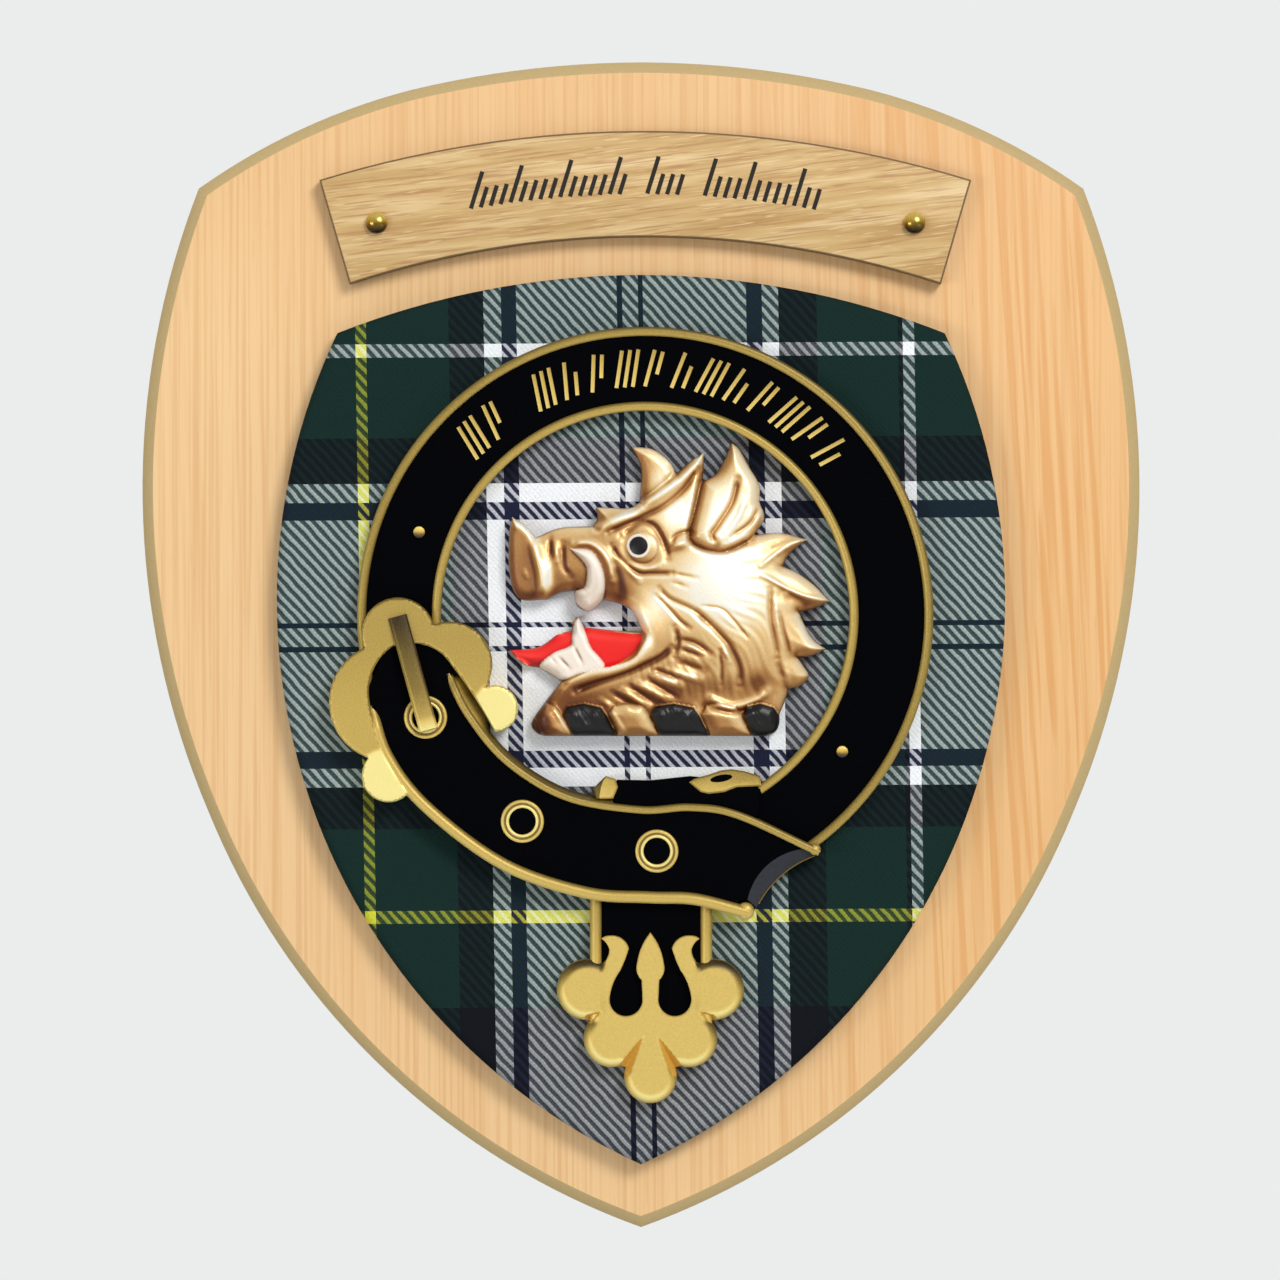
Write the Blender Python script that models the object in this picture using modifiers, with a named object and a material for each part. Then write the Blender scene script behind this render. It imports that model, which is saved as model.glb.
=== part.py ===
"""A heraldic wall plaque: a shield-shaped board with a cloth-covered panel, a cast
strap-and-buckle badge round a boar's head, and a name strip held by two brass pins.

Metres, +Z up. The board's back lies on the plane y = 0 and the front faces -Y.
The origin is the middle of the board's back face. The sizes below are in
millimetres, a place is (x, z) seen from the front, and a depth is a distance
forward of the wall.
"""

import cmath
import math

import bmesh
import bpy
import numpy as np
from mathutils import Matrix, Vector
from mathutils.geometry import delaunay_2d_cdt

MM = 0.001
CLEARANCE = 0.3
FLATNESS = 0.08
SMOOTH_ANGLE = 40
PAST = 1.0
SMALL_EDGE = 0.4

# Depths forward of the wall
BOARD_FRONT = 9.5
SCROLL_BACK = BOARD_FRONT + CLEARANCE
SCROLL_FRONT = SCROLL_BACK + 2.8
CLOTH_FRONT = 14.6
CLOTH_THICKNESS = 0.5
PANEL_FRONT = CLOTH_FRONT - CLOTH_THICKNESS - CLEARANCE
CAST_BACK = CLOTH_FRONT + CLEARANCE
STRAP_FRONT = CAST_BACK + 2.2
TAIL_FRONT = STRAP_FRONT + 1.5
BUCKLE_FRONT = TAIL_FRONT + 1.0
CHAPE_FRONT = STRAP_FRONT + 1.5

# Board
BOARD_TOP, BOARD_TIP = (0, 96.4), (0, -96.4)
BOARD_TOP_JOIN, BOARD_SHOULDER, BOARD_SIDE_JOIN = (-37.8, 91.9), (-73.2, 75.5), (-71.6, -27.6)
BOARD_TOP_SWELL, BOARD_BROW_SWELL, BOARD_SIDE_SWELL, BOARD_LOWER_SWELL = 1.1, 1.8, 10.1, 10.6
BOARD_CHAMFER = 1.8

# Keyhole slot in the board's back
KEYHOLE_FOOT, KEYHOLE_TOP = 66.0, 78.0
KEYHOLE_ENTRY_RADIUS, KEYHOLE_NECK_RADIUS, KEYHOLE_LIP, KEYHOLE_DEPTH = 4.6, 2.4, 1.6, 5.6

# Panel and cloth
PANEL_TOP, PANEL_SHOULDER, PANEL_TIP = (0, 61.0), (-50.1, 51.4), (0, -85.7)
PANEL_TOP_SWELL, PANEL_SIDE_SWELL = 2.4, 30.7
PANEL_ROUNDING = 1.7

# Name strip
SCROLL_MIDDLE, SCROLL_TOP_HALF, SCROLL_FOOT_HALF = 0.7, 53.8, 48.8
SCROLL_TOP_CORNER, SCROLL_FOOT_CORNER = 76.7, 59.5
SCROLL_TOP_RISE, SCROLL_FOOT_RISE = 8.1, 7.8
SCROLL_EASING = 0.3

# Brass pins: head radius, head height, shank radius, depth of the shank's tip
SCROLL_PIN = (1.8, 1.5, 0.5, 4.0)
SCROLL_PIN_PLACES = {"scroll_pin_left": (-43.6, 69.6), "scroll_pin_right": (45.1, 69.6)}
BADGE_PIN = (0.9, 0.6, 0.35, 11.0)
BADGE_PIN_PLACES = {"badge_pin_left": (-36.5, 18.5), "badge_pin_right": (33.1, -17.6)}

# Strap badge
RING_CENTRE, RING_OUTER, RING_INNER = (0.7, 4.9), 47.4, 33.6
RING_RIMS, RIM_RISE, RIM_STEPS, RING_STEPS = (1.5, 1.5), 0.9, 4, 64
TAIL_UPPER = [
    (-31.7, -4.8), (-28.4, -11.4), (-22.0, -19.1), (-12.2, -25.0), (-0.2, -27.1),
    (8.1, -26.7), (16.0, -28.0), (29.3, -34.1),
]
TAIL_LOWER = [
    (-44.4, -10.2), (-41.7, -18.3), (-35.3, -26.6), (-22.7, -36.0), (-9.1, -40.7),
    (1.4, -41.5), (8.9, -41.8), (17.6, -44.0),
]
TAIL_RIMS, TAIL_STEPS = (2.0, 1.3), 20
TAIL_ROOT = [(-33, -9), (-30, -3), (-36, 2), (-42, 2), (-46, -6), (-44, -13)]
TAIL_END, TAIL_END_HOLLOW, TAIL_END_DROP = [(29.3, -34.4), (19.0, -43.2)], -0.7, 0.6
TAIL_FOLD, TAIL_FOLD_HOLLOW = [(26.3, -33.6), (17.5, -41.9)], -0.9
TIP_KNOBS = [((28.6, -33.6), 1.1), ((17.2, -43.7), 1.5)]
EYELETS = [(-19.5, -29.0), (2.6, -33.9), (-35.4, -11.9)]
EYELET_RADIUS, EYELET_WIRE = 2.85, 0.72
SLACK = [(-5.0, -28.0), (16.5, -28.0), (17.0, -23.0), (8.1, -21.6), (1.5, -22.3), (-4.0, -22.2)]
SLACK_END = [(-7.9, -23.7), (-7.3, -25.4), (-4.6, -25.3), (-3.8, -23.4), (-4.2, -22.1), (-5.8, -21.6)]
SLACK_LOOP = [
    (7.9, -22.6), (9.8, -24.2), (11.1, -24.5), (13.7, -24.2), (15.7, -23.4), (18.5, -22.9),
    (18.2, -21.2), (17.0, -20.8), (15.0, -20.5), (13.1, -20.7), (11.1, -21.4), (8.8, -22.0),
]
SLACK_FRONTS = (STRAP_FRONT + 0.3, STRAP_FRONT + 0.7, STRAP_FRONT + 0.7)
HANG_LEFT, HANG_RIGHT, HANG_TOP, HANG_FOOT, HANG_RIM = -8.4, 11.7, -38.0, -62.0, 1.9

# Buckle: corner points, each with the swell of the arc that leads to it
BUCKLE_START = (-45.5, -0.5)
BUCKLE_EDGE = [
    ((-44.8, -18.6), 6.1), ((-38.0, -24.2), 4.5), ((-44.7, -8.6), -1.2), ((-40.7, -0.2), -1.3),
    ((-36.9, 0.2), 0.0), ((-31.2, -3.3), -0.8), ((-24.0, -14.3), -0.3), ((-25.6, -7.0), 4.6),
    ((-34.1, 3.3), 4.9), ((-45.5, -0.5), 6.4),
]
PRONG_TOP, PRONG_FOOT, PRONG_WIDTH, PRONG_RISE = (-40.0, 4.7), (-34.8, -14.2), 3.1, 0.9
BUCKLE_ROUNDING = 0.5

# Chape: the right half of the tip ornament, from the spear's point to the foot.
# Each corner has the outward swell of the arc that leads to it.
CHAPE_MIDDLE, CHAPE_POINT, CHAPE_CHAMFER = 1.55, -47.3, 0.8
CHAPE_LOBE_TOP, CHAPE_SCROLL_FOOT, CHAPE_SCROLL_HALF = -50.5, -61.5, 7.5
CHAPE_HALF = [
    ((3.75, -52.4), 0.4), ((3.0, -55.1), 0.4), ((2.85, -58.2), 0.0), ((8.25, -57.9), -3.0),
    ((6.5, -53.5), -0.3), ((5.1, -49.9), 0.1), ((8.2, -47.8), 0.7), ((9.6, -48.3), 0.15),
    ((8.3, -50.05), -0.2), ((9.4, -52.4), -0.3), ((11.4, -61.7), 6.6), ((6.5, -69.3), 3.4),
    ((5.1, -67.0), 0.0), ((5.6, -69.5), 0.0), ((1.55, -75.4), 1.9),
]

# Inscription: strokes that aren't letters, on an arc of the ring
WRITING_RADIUS, WRITING_START, WRITING_END, WRITING_RISE = 40.6, 134.0, 41.0, 0.35
WRITING_HEIGHT, WRITING_STROKE, WRITING_SLOTS, WRITING_GAPS = 6.2, 0.8, 15, (2,)

# Boar's head: stretches of its outline, each a smooth curve from corner to corner
HEAD_OUTLINE = {
    "foot": [(-15.9, -15.0), (20.7, -15.0)],
    "wreath_right": [(20.7, -15.0), (22.0, -14.4), (22.7, -13.1), (22.8, -11.4)],
    "nape": [(22.8, -11.4), (23.7, -9.2), (24.3, -7.3)],
    "mane_spike_4": [(24.3, -7.3), (26.4, -6.7), (27.6, -5.2), (26.9, -3.7), (25.8, -2.1)],
    "mane_spike_3_under": [(25.8, -2.1), (28.2, -1.8), (30.4, -0.7)],
    "mane_spike_3": [(30.4, -0.7), (28.3, 0.9), (26.9, 3.3), (26.0, 5.4)],
    "mane_spike_2_under": [(26.0, 5.4), (28.6, 6.0), (31.0, 7.2)],
    "mane_spike_2": [(31.0, 7.2), (28.5, 9.8), (25.6, 11.9), (23.3, 12.9)],
    "mane_spike_1_under": [(23.3, 12.9), (24.5, 15.0), (27.3, 17.3)],
    "mane_spike_1": [(27.3, 17.3), (23.0, 18.4), (18.7, 18.1)],
    "big_ear_foot": [(18.7, 18.1), (20.3, 20.8), (19.5, 23.4)],
    "big_ear_back": [(19.5, 23.4), (19.4, 26.4), (17.8, 29.2), (16.2, 32.1), (14.9, 33.2)],
    "big_ear_front": [(14.9, 33.2), (13.7, 30.4), (12.2, 28.0), (10.1, 26.9)],
    "front_ear_back": [(10.1, 26.9), (10.3, 29.2), (10.3, 31.6)],
    "front_ear": [(10.3, 31.6), (8.1, 30.2), (5.8, 28.2)],
    "rear_ear_back": [(5.8, 28.2), (4.5, 30.3), (1.8, 32.2), (-1.5, 32.6)],
    "rear_ear": [(-1.5, 32.6), (0.0, 28.9), (-0.3, 23.4)],
    "brow": [(-0.3, 23.4), (-2.0, 22.5), (-7.4, 22.6)],
    "brow_tuft": [(-7.4, 22.6), (-7.2, 20.8), (-7.9, 19.5)],
    "nose_bridge": [(-7.9, 19.5), (-13.4, 19.2), (-17.4, 17.6)],
    "snout_tip": [(-17.4, 17.6), (-19.0, 19.5), (-21.2, 21.0)],
    "snout_disc": [(-21.2, 21.0), (-21.7, 18.1), (-21.6, 11.4), (-20.0, 7.6), (-15.5, 7.4)],
    "snout_underside": [(-15.5, 7.4), (-13.1, 8.6), (-11.1, 8.9)],
    "upper_tusk": [(-11.1, 8.9), (-10.5, 6.4), (-8.4, 5.6), (-6.1, 7.4)],
    "mouth_roof": [(-6.1, 7.4), (-3.5, 6.7), (-1.3, 5.4), (0.2, 2.1)],
    "tongue_back": [(0.2, 2.1), (-4.8, 2.4), (-9.3, 2.9)],
    "lower_tusk_back": [(-9.3, 2.9), (-10.4, 4.7)],
    "lower_tusk_front": [(-10.4, 4.7), (-11.2, 3.8), (-11.4, 2.3)],
    "tongue": [(-11.4, 2.3), (-13.7, 1.7), (-17.0, -0.4), (-21.7, -0.9)],
    "tongue_tip": [(-21.7, -0.9), (-19.3, -3.2), (-16.7, -3.8)],
    "teeth": [(-16.7, -3.8), (-13.1, -6.0)],
    "chin": [(-13.1, -6.0), (-15.7, -9.3), (-18.0, -12.8), (-17.2, -14.5), (-15.9, -15.0)],
}
HEAD_STEP = 1.26
HEAD_WALL, HEAD_ROLL, HEAD_ROLL_WIDTH = 1.8, 1.5, 1.8

# Soft masses of the head: centre, half widths, turn in degrees, height
HEAD_MASSES = [
    ((12.0, 6.5), (15.0, 13.0), -20, 3.4),
    ((-1.0, 17.0), (9.0, 7.0), 35, 1.5),
    ((7.0, -5.5), (17.0, 6.5), 5, 1.6),
    ((-12.0, 13.0), (6.0, 4.5), 0, 1.1),
    ((11.0, 20.0), (7.0, 7.5), 60, 0.8),
]

# Raised or sunk forms on it: outline, rise, width of the rounded edge
HEAD_FORMS = {
    "mouth": (
        [(-22.3, -0.9), (-15.4, 1.1), (-11.7, 2.8), (-10.4, 5.4), (-8.9, 3.4), (0.2, 2.4), (0.0, -0.5),
         (-2.1, -2.7), (-8.4, -4.3), (-13.1, -6.2), (-17.0, -4.5)], -1.3, 0.9),
    "teeth": (
        [(-11.4, 2.3), (-10.4, 4.7), (-9.3, 2.8), (-8.3, -0.9), (-6.0, -3.5), (-8.4, -4.3), (-13.1, -6.0),
         (-16.7, -3.8), (-14.1, -1.2), (-11.6, 0.5)], 0.9, 0.8),
    "upper_tusk": (
        [(-11.7, 15.8), (-8.1, 15.3), (-6.1, 11.5), (-6.4, 7.1), (-8.8, 5.6), (-10.9, 7.2), (-11.1, 8.7),
         (-9.3, 9.5), (-8.9, 12.2), (-9.6, 13.7)], 1.2, 1.2),
    "big_ear": (
        [(10.1, 26.7), (12.9, 28.7), (14.9, 33.2), (17.5, 29.9), (19.4, 26.5), (20.3, 21.5), (18.7, 18.1),
         (13.4, 15.3), (8.1, 17.3), (9.1, 22.6)], 1.6, 2.6),
    "rear_ear": (
        [(-1.6, 32.8), (1.8, 32.4), (4.5, 30.2), (5.1, 28.2), (0.7, 24.4), (-0.3, 23.8), (0.0, 28.9)],
        -0.6, 0.9),
    "eyeball": ([(-2.4, 16.3), (0.0, 18.9), (2.6, 16.8), (1.8, 14.2), (-1.0, 14.2)], 0.9, 1.6),
}

# Lines cut into it or standing up from it: points, half width, height
HEAD_LINES = {
    "disc_crest": ([(-20.5, 20.5), (-17.0, 14.8), (-15.5, 7.9)], 1.2, 1.5),
    "disc_groove": ([(-15.3, 18.5), (-14.4, 12.4), (-14.5, 8.7)], 0.7, -0.7),
    "tusk_lip": ([(-10.9, 16.7), (-6.4, 15.2), (-4.8, 9.1)], 0.8, 0.7),
    "brow_ridge": ([(-6.0, 19.0), (1.5, 23.4), (8.1, 28.6), (10.1, 31.2)], 0.9, 1.1),
    "upper_lid": ([(-4.8, 17.3), (0.2, 20.0), (3.8, 16.5), (4.5, 14.0)], 0.7, 0.8),
    "lower_lid": ([(-6.8, 16.8), (-1.8, 12.3), (4.5, 11.7)], 0.7, 0.6),
    "ear_hollow": ([(14.9, 29.2), (15.0, 23.2), (11.8, 18.0)], 0.9, -1.2),
    "ear_gap": ([(10.1, 26.6), (8.2, 19.3), (8.1, 16.8), (13.4, 15.0), (18.4, 17.6)], 0.8, -1.1),
    "jaw_ridge": ([(-12.9, -6.3), (-4.8, -4.2), (0.5, -0.5), (-0.2, 4.4), (-2.1, 6.4)], 1.0, 0.8),
    "jaw_groove": ([(-10.9, -7.6), (-1.8, -5.4), (3.1, -0.9)], 0.8, -0.7),
    "neck_fold": ([(-13.0, -9.6), (-1.0, -10.8), (7.0, -9.4), (14.0, -10.4), (20.0, -7.8)], 0.8, -1.0),
    "cheek_fold": ([(3.1, 8.7), (10.6, 2.8), (15.2, -2.9), (15.9, -7.5)], 0.9, -0.8),
    "jowl_fold": ([(5.1, 2.8), (7.1, -2.5), (10.3, -4.5)], 0.8, -0.8),
    "mane_1": ([(19.2, 16.5), (25.8, 17.2)], 0.7, -0.5),
    "mane_2": ([(21.7, 10.0), (29.3, 7.2)], 0.7, -0.6),
    "mane_3": ([(23.3, 5.4), (26.3, 0.0), (28.8, -0.9)], 0.7, -0.5),
    "mane_4": ([(22.2, -3.3), (26.0, -6.2)], 0.7, -0.5),
}

# Wreath under the head: twisted rolls side by side, each leaning like a backslash
WREATH_SEAMS = [-18.0, -13.1, -5.6, 1.2, 9.6, 16.4, 22.8]
WREATH_TOP, WREATH_FOOT, WREATH_LEAN, WREATH_RISE = -9.9, -15.0, 2.1, 1.5

COLOURS = {
    "board": ((0.87, 0.59, 0.33), 0.5, 0.0),
    "panel": ((0.55, 0.42, 0.27), 0.8, 0.0),
    "cloth": ((0.05, 0.10, 0.09), 0.9, 0.0),
    "oak": ((0.62, 0.43, 0.20), 0.5, 0.0),
    "brass": ((0.80, 0.60, 0.25), 0.3, 1.0),
    "badge": ((0.03, 0.03, 0.04), 0.35, 0.0),
    "head": ((0.76, 0.52, 0.22), 0.35, 1.0),
}


def arc(start, end, swell):
    """Points after start on an arc to end that swells to the right of the way it goes."""
    a, b = complex(*start), complex(*end)
    turn = 4 * math.atan2(2 * swell, abs(b - a))
    if abs(turn) < 1e-6:
        return [end]
    centre = (a + b) / 2 + 1j * (b - a) / (2 * math.tan(turn / 2))
    most_turn = 2 * math.acos(1 - FLATNESS / abs(a - centre))
    count = max(2, math.ceil(abs(turn) / most_turn))
    spots = [centre + (a - centre) * cmath.exp(1j * turn * k / count) for k in range(1, count)]
    return [(spot.real, spot.imag) for spot in spots] + [end]


def arcs(start, moves):
    """Points along a chain of arcs, start included. Each move is an end point and a swell."""
    points = [start]
    for end, swell in moves:
        points += arc(points[-1], end, swell)
    return points


def mirrored(half, middle=0.0):
    """A closed outline from one half that starts and ends on the line x = middle."""
    other = [(2 * middle - x, z) for x, z in reversed(half) if abs(x - middle) > 1e-6]
    return half + other


def smooth(points, step):
    """Evenly spaced points on a smooth curve through the given ones, ends included."""
    spots = [Vector(p) for p in points]
    ends = [2 * spots[0] - spots[1], *spots, 2 * spots[-1] - spots[-2]]
    fine = [spots[0]]
    for a, b, c, d in zip(ends, ends[1:], ends[2:], ends[3:]):
        for k in range(1, 17):
            t = k / 16
            fine.append(
                0.5 * (2 * b + (c - a) * t + (2 * a - 5 * b + 4 * c - d) * t * t
                       + (3 * b - a - 3 * c + d) * t ** 3)
            )
    line = np.array([tuple(spot) for spot in fine])
    along = np.concatenate([[0], np.cumsum(np.linalg.norm(np.diff(line, axis=0), axis=1))])
    count = max(1, round(along[-1] / step))
    stations = np.linspace(0, along[-1], count + 1)
    return list(zip(np.interp(stations, along, line[:, 0]), np.interp(stations, along, line[:, 1])))


def shrunk(outline, inset):
    """A closed counterclockwise outline moved inwards, its corners kept sharp."""
    spots = np.array(outline)
    ahead, behind = np.roll(spots, -1, axis=0) - spots, spots - np.roll(spots, 1, axis=0)
    normals = [np.stack([-way[:, 1], way[:, 0]], 1) for way in (ahead, behind)]
    first, second = (n / np.linalg.norm(n, axis=1, keepdims=True) for n in normals)
    both = first + second
    return [tuple(p) for p in spots + inset * both * 2 / (both * both).sum(1)[:, None]]


def spot(place, depth):
    """A point of the model, in metres."""
    return Vector((place[0], -depth, place[1])) * MM


def material(name):
    """The finish that COLOURS gives under this name."""
    colour, roughness, metallic = COLOURS[name]
    made = bpy.data.materials.get(name) or bpy.data.materials.new(name)
    made.use_nodes = True
    shader = made.node_tree.nodes["Principled BSDF"]
    shader.inputs["Base Color"].default_value = (*colour, 1)
    shader.inputs["Roughness"].default_value = roughness
    shader.inputs["Metallic"].default_value = metallic
    made.diffuse_color = (*colour, 1)
    return made


def new_object(name, shape, collection, finish=None):
    """An object from a bmesh, with its faces turned outwards."""
    bmesh.ops.recalc_face_normals(shape, faces=shape.faces)
    mesh = bpy.data.meshes.new(name)
    shape.to_mesh(mesh)
    shape.free()
    mesh.shade_smooth()
    mesh.set_sharp_from_angle(angle=math.radians(SMOOTH_ANGLE))
    made = bpy.data.objects.new(name, mesh)
    collection.objects.link(made)
    if finish:
        mesh.materials.append(material(finish))
    return made


def hide(made):
    """Keeps a cutter or a shape that is joined to another out of the model."""
    made.hide_render = True
    made.display_type = "WIRE"


def join(target, operation, operands):
    """A Boolean of target with every object of the collection operands."""
    modifier = target.modifiers.new(operation.lower(), "BOOLEAN")
    modifier.operation = operation
    modifier.operand_type = "COLLECTION"
    modifier.collection = operands
    modifier.solver = "EXACT"


def helpers(name):
    """A new collection for cutters or joined shapes."""
    made = bpy.data.collections.new(name)
    bpy.data.collections["cutters"].children.link(made)
    return made


def plate(name, outline, back, front, collection, finish=None, edge=0.0, segments=1, eased=None):
    """A flat plate between two depths, its front edge bevelled, or only where eased says so of a point."""
    shape = bmesh.new()
    shape.faces.new([shape.verts.new(spot(p, back)) for p in outline])
    grown = bmesh.ops.extrude_face_region(shape, geom=shape.faces[:])["geom"]
    raised = [v for v in grown if isinstance(v, bmesh.types.BMVert)]
    bmesh.ops.translate(shape, verts=raised, vec=spot((0, 0), front - back))
    bmesh.ops.recalc_face_normals(shape, faces=shape.faces)
    if edge:
        top = set(raised)
        rim = [e for e in shape.edges if top.issuperset(e.verts)]
        if eased:
            rim = [e for e in rim if all(eased(v.co.x / MM, v.co.z / MM) for v in e.verts)]
        bmesh.ops.bevel(shape, geom=rim, offset=edge * MM, segments=segments, profile=0.5, affect="EDGES")
    return new_object(name, shape, collection, finish)


def hole(name, place, radius, back, front, collection, sides=12):
    """A round cutter between two depths."""
    shape = bmesh.new()
    turn = Matrix.Translation(spot(place, (back + front) / 2)) @ Matrix.Rotation(math.pi / 2, 4, "X")
    bmesh.ops.create_cone(
        shape, cap_ends=True, segments=sides, radius1=radius * MM, radius2=radius * MM,
        depth=(front - back) * MM, matrix=turn,
    )
    hide(new_object(name, shape, collection))


def turned(name, centre, profile, steps, collection, finish=None):
    """A shape turned about the axis through centre that points forward. Its profile holds (radius, depth)."""
    shape = bmesh.new()
    ring = [shape.verts.new((radius * MM, -depth * MM, 0)) for radius, depth in profile]
    closed = profile[0][0] > 0 and profile[-1][0] > 0
    for first, second in zip(ring, ring[1:] + ring[:1] if closed else ring[1:]):
        shape.edges.new((first, second))
    mesh = bpy.data.meshes.new(name)
    shape.to_mesh(mesh)
    shape.free()
    made = bpy.data.objects.new(name, mesh)
    made.location = spot(centre, 0)
    collection.objects.link(made)
    screw = made.modifiers.new("turn", "SCREW")
    screw.axis = "Y"
    screw.steps = screw.render_steps = steps
    screw.use_merge_vertices = True
    screw.merge_threshold = 0.01 * MM
    if finish:
        mesh.materials.append(material(finish))
    return made


def lofted(name, sections, collection):
    """A solid through closed sections of equally many points, capped at both ends."""
    shape = bmesh.new()
    rings = [[shape.verts.new(point) for point in section] for section in sections]
    for first, second in zip(rings, rings[1:]):
        for k in range(len(first)):
            shape.faces.new((first[k - 1], first[k], second[k], second[k - 1]))
    shape.faces.new(rings[0])
    shape.faces.new(rings[-1])
    return new_object(name, shape, collection)


def strap_section(width, front, rims):
    """(distance across, depth) of a strap of this width: a flat band between two rounded rims."""
    crests = []
    for rim in rims:
        half = rim / 2
        crests.append([(half - half * math.cos(a), front + RIM_RISE * math.sin(a))
                       for a in np.linspace(0, math.pi, RIM_STEPS + 1)])
    far = [(width - across, depth) for across, depth in reversed(crests[1])]
    return [(0, CAST_BACK), *crests[0], *far, (width, CAST_BACK)]


def strap_length(name, left, right, front, rims, collection):
    """A length of strap between the middles of its rims, given as equally many points each."""
    sections = []
    for a, b in zip(left, right):
        way = (Vector(b) - Vector(a)).normalized()
        start, end = Vector(a) - way * rims[0] / 2, Vector(b) + way * rims[1] / 2
        profile = strap_section((end - start).length, front, rims)
        sections.append([spot(start + way * across, depth) for across, depth in profile])
    hide(lofted(name, sections, collection))


def board_outline():
    """The back board's edge, counterclockwise from its top."""
    half = arcs(
        BOARD_TOP,
        [(BOARD_TOP_JOIN, BOARD_TOP_SWELL), (BOARD_SHOULDER, BOARD_BROW_SWELL),
         (BOARD_SIDE_JOIN, BOARD_SIDE_SWELL), (BOARD_TIP, BOARD_LOWER_SWELL)],
    )
    return mirrored(half)


def panel_outline():
    """The cloth's edge, counterclockwise from its top."""
    half = arcs(PANEL_TOP, [(PANEL_SHOULDER, PANEL_TOP_SWELL), (PANEL_TIP, PANEL_SIDE_SWELL)])
    return mirrored(half)


def scroll_outline():
    """The name strip's edge, counterclockwise from its lower left corner."""
    left, right = SCROLL_MIDDLE - SCROLL_FOOT_HALF, SCROLL_MIDDLE + SCROLL_FOOT_HALF
    far_left, far_right = SCROLL_MIDDLE - SCROLL_TOP_HALF, SCROLL_MIDDLE + SCROLL_TOP_HALF
    points = arcs(
        (left, SCROLL_FOOT_CORNER),
        [((right, SCROLL_FOOT_CORNER), -SCROLL_FOOT_RISE), ((far_right, SCROLL_TOP_CORNER), 0),
         ((far_left, SCROLL_TOP_CORNER), SCROLL_TOP_RISE)],
    )
    return points


def make_board(parts):
    """The back board, with its keyhole slot and the holes for the strip's pins."""
    board = plate("back_board", board_outline(), 0, BOARD_FRONT, parts, "board", BOARD_CHAMFER)
    cuts = helpers("board_cuts")
    for radius, back in ((KEYHOLE_NECK_RADIUS, -PAST), (KEYHOLE_ENTRY_RADIUS, KEYHOLE_LIP)):
        sides = [(radius, KEYHOLE_FOOT), (radius, KEYHOLE_TOP)]
        slot = arcs(sides[0], [(sides[1], 0), ((-radius, KEYHOLE_TOP), radius), ((-radius, KEYHOLE_FOOT), 0),
                               (sides[0], radius)])
        hide(plate(f"keyhole_{radius}", slot[:-1], back, KEYHOLE_DEPTH, cuts))
    hole("keyhole_entry", (0, KEYHOLE_FOOT), KEYHOLE_ENTRY_RADIUS, -PAST, KEYHOLE_DEPTH, cuts, sides=24)
    pin_holes(cuts, SCROLL_PIN, SCROLL_PIN_PLACES, BOARD_FRONT)
    join(board, "DIFFERENCE", cuts)


def pin_holes(cuts, pin, places, front):
    """Holes through the face at the depth front, a little wider and deeper than these pins' shanks."""
    for name, place in places.items():
        hole(f"{name}_hole", place, pin[2] + CLEARANCE, pin[3] - CLEARANCE, front + PAST, cuts)


def make_panel(parts):
    """The panel under the cloth."""
    outline = shrunk(panel_outline(), CLOTH_THICKNESS + CLEARANCE)
    panel = plate("inner_panel", outline, BOARD_FRONT + CLEARANCE, PANEL_FRONT, parts, "panel",
                  PANEL_ROUNDING - CLOTH_THICKNESS, 2)
    cuts = helpers("panel_cuts")
    pin_holes(cuts, BADGE_PIN, BADGE_PIN_PLACES, PANEL_FRONT)
    join(panel, "DIFFERENCE", cuts)


def make_cloth(parts):
    """The cloth: a thin skin over the panel's front and edge, open behind."""
    back = BOARD_FRONT + CLEARANCE
    cloth = plate("tartan_cloth", panel_outline(), back, CLOTH_FRONT, parts, "cloth", PANEL_ROUNDING, 3)
    cuts = helpers("cloth_cuts")
    inside = shrunk(panel_outline(), CLOTH_THICKNESS)
    hide(plate("cloth_inside", inside, back - PAST, CLOTH_FRONT - CLOTH_THICKNESS, cuts,
               edge=PANEL_ROUNDING - CLOTH_THICKNESS / 2, segments=2))
    pin_holes(cuts, BADGE_PIN, BADGE_PIN_PLACES, CLOTH_FRONT)
    join(cloth, "DIFFERENCE", cuts)


def make_scroll(parts):
    """The oak name strip."""
    scroll = plate("name_scroll", scroll_outline(), SCROLL_BACK, SCROLL_FRONT, parts, "oak", SCROLL_EASING)
    cuts = helpers("scroll_cuts")
    pin_holes(cuts, SCROLL_PIN, SCROLL_PIN_PLACES, SCROLL_FRONT)
    join(scroll, "DIFFERENCE", cuts)


def make_pins(parts, pin, places, seat, steps):
    """Round-headed brass pins whose heads sit just clear of the depth seat."""
    radius, height, shank, tip = pin
    under = seat + CLEARANCE
    dome = [(radius * math.cos(a), under + height * math.sin(a)) for a in np.linspace(math.pi / 2, 0, 5)]
    dome[0] = (0, under + height)
    profile = [(0, tip), (shank, tip + shank), (shank, under), *reversed(dome)]
    for name, place in places.items():
        turned(name, place, profile, steps, parts, "brass")


def badge_ring(parts):
    """The ring of strap, the shape that the rest of the badge is joined to."""
    profile = [(RING_INNER + across, depth)
               for across, depth in strap_section(RING_OUTER - RING_INNER, STRAP_FRONT, RING_RIMS)]
    return turned("strap_badge", RING_CENTRE, list(reversed(profile)), RING_STEPS, parts, "badge")


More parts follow.
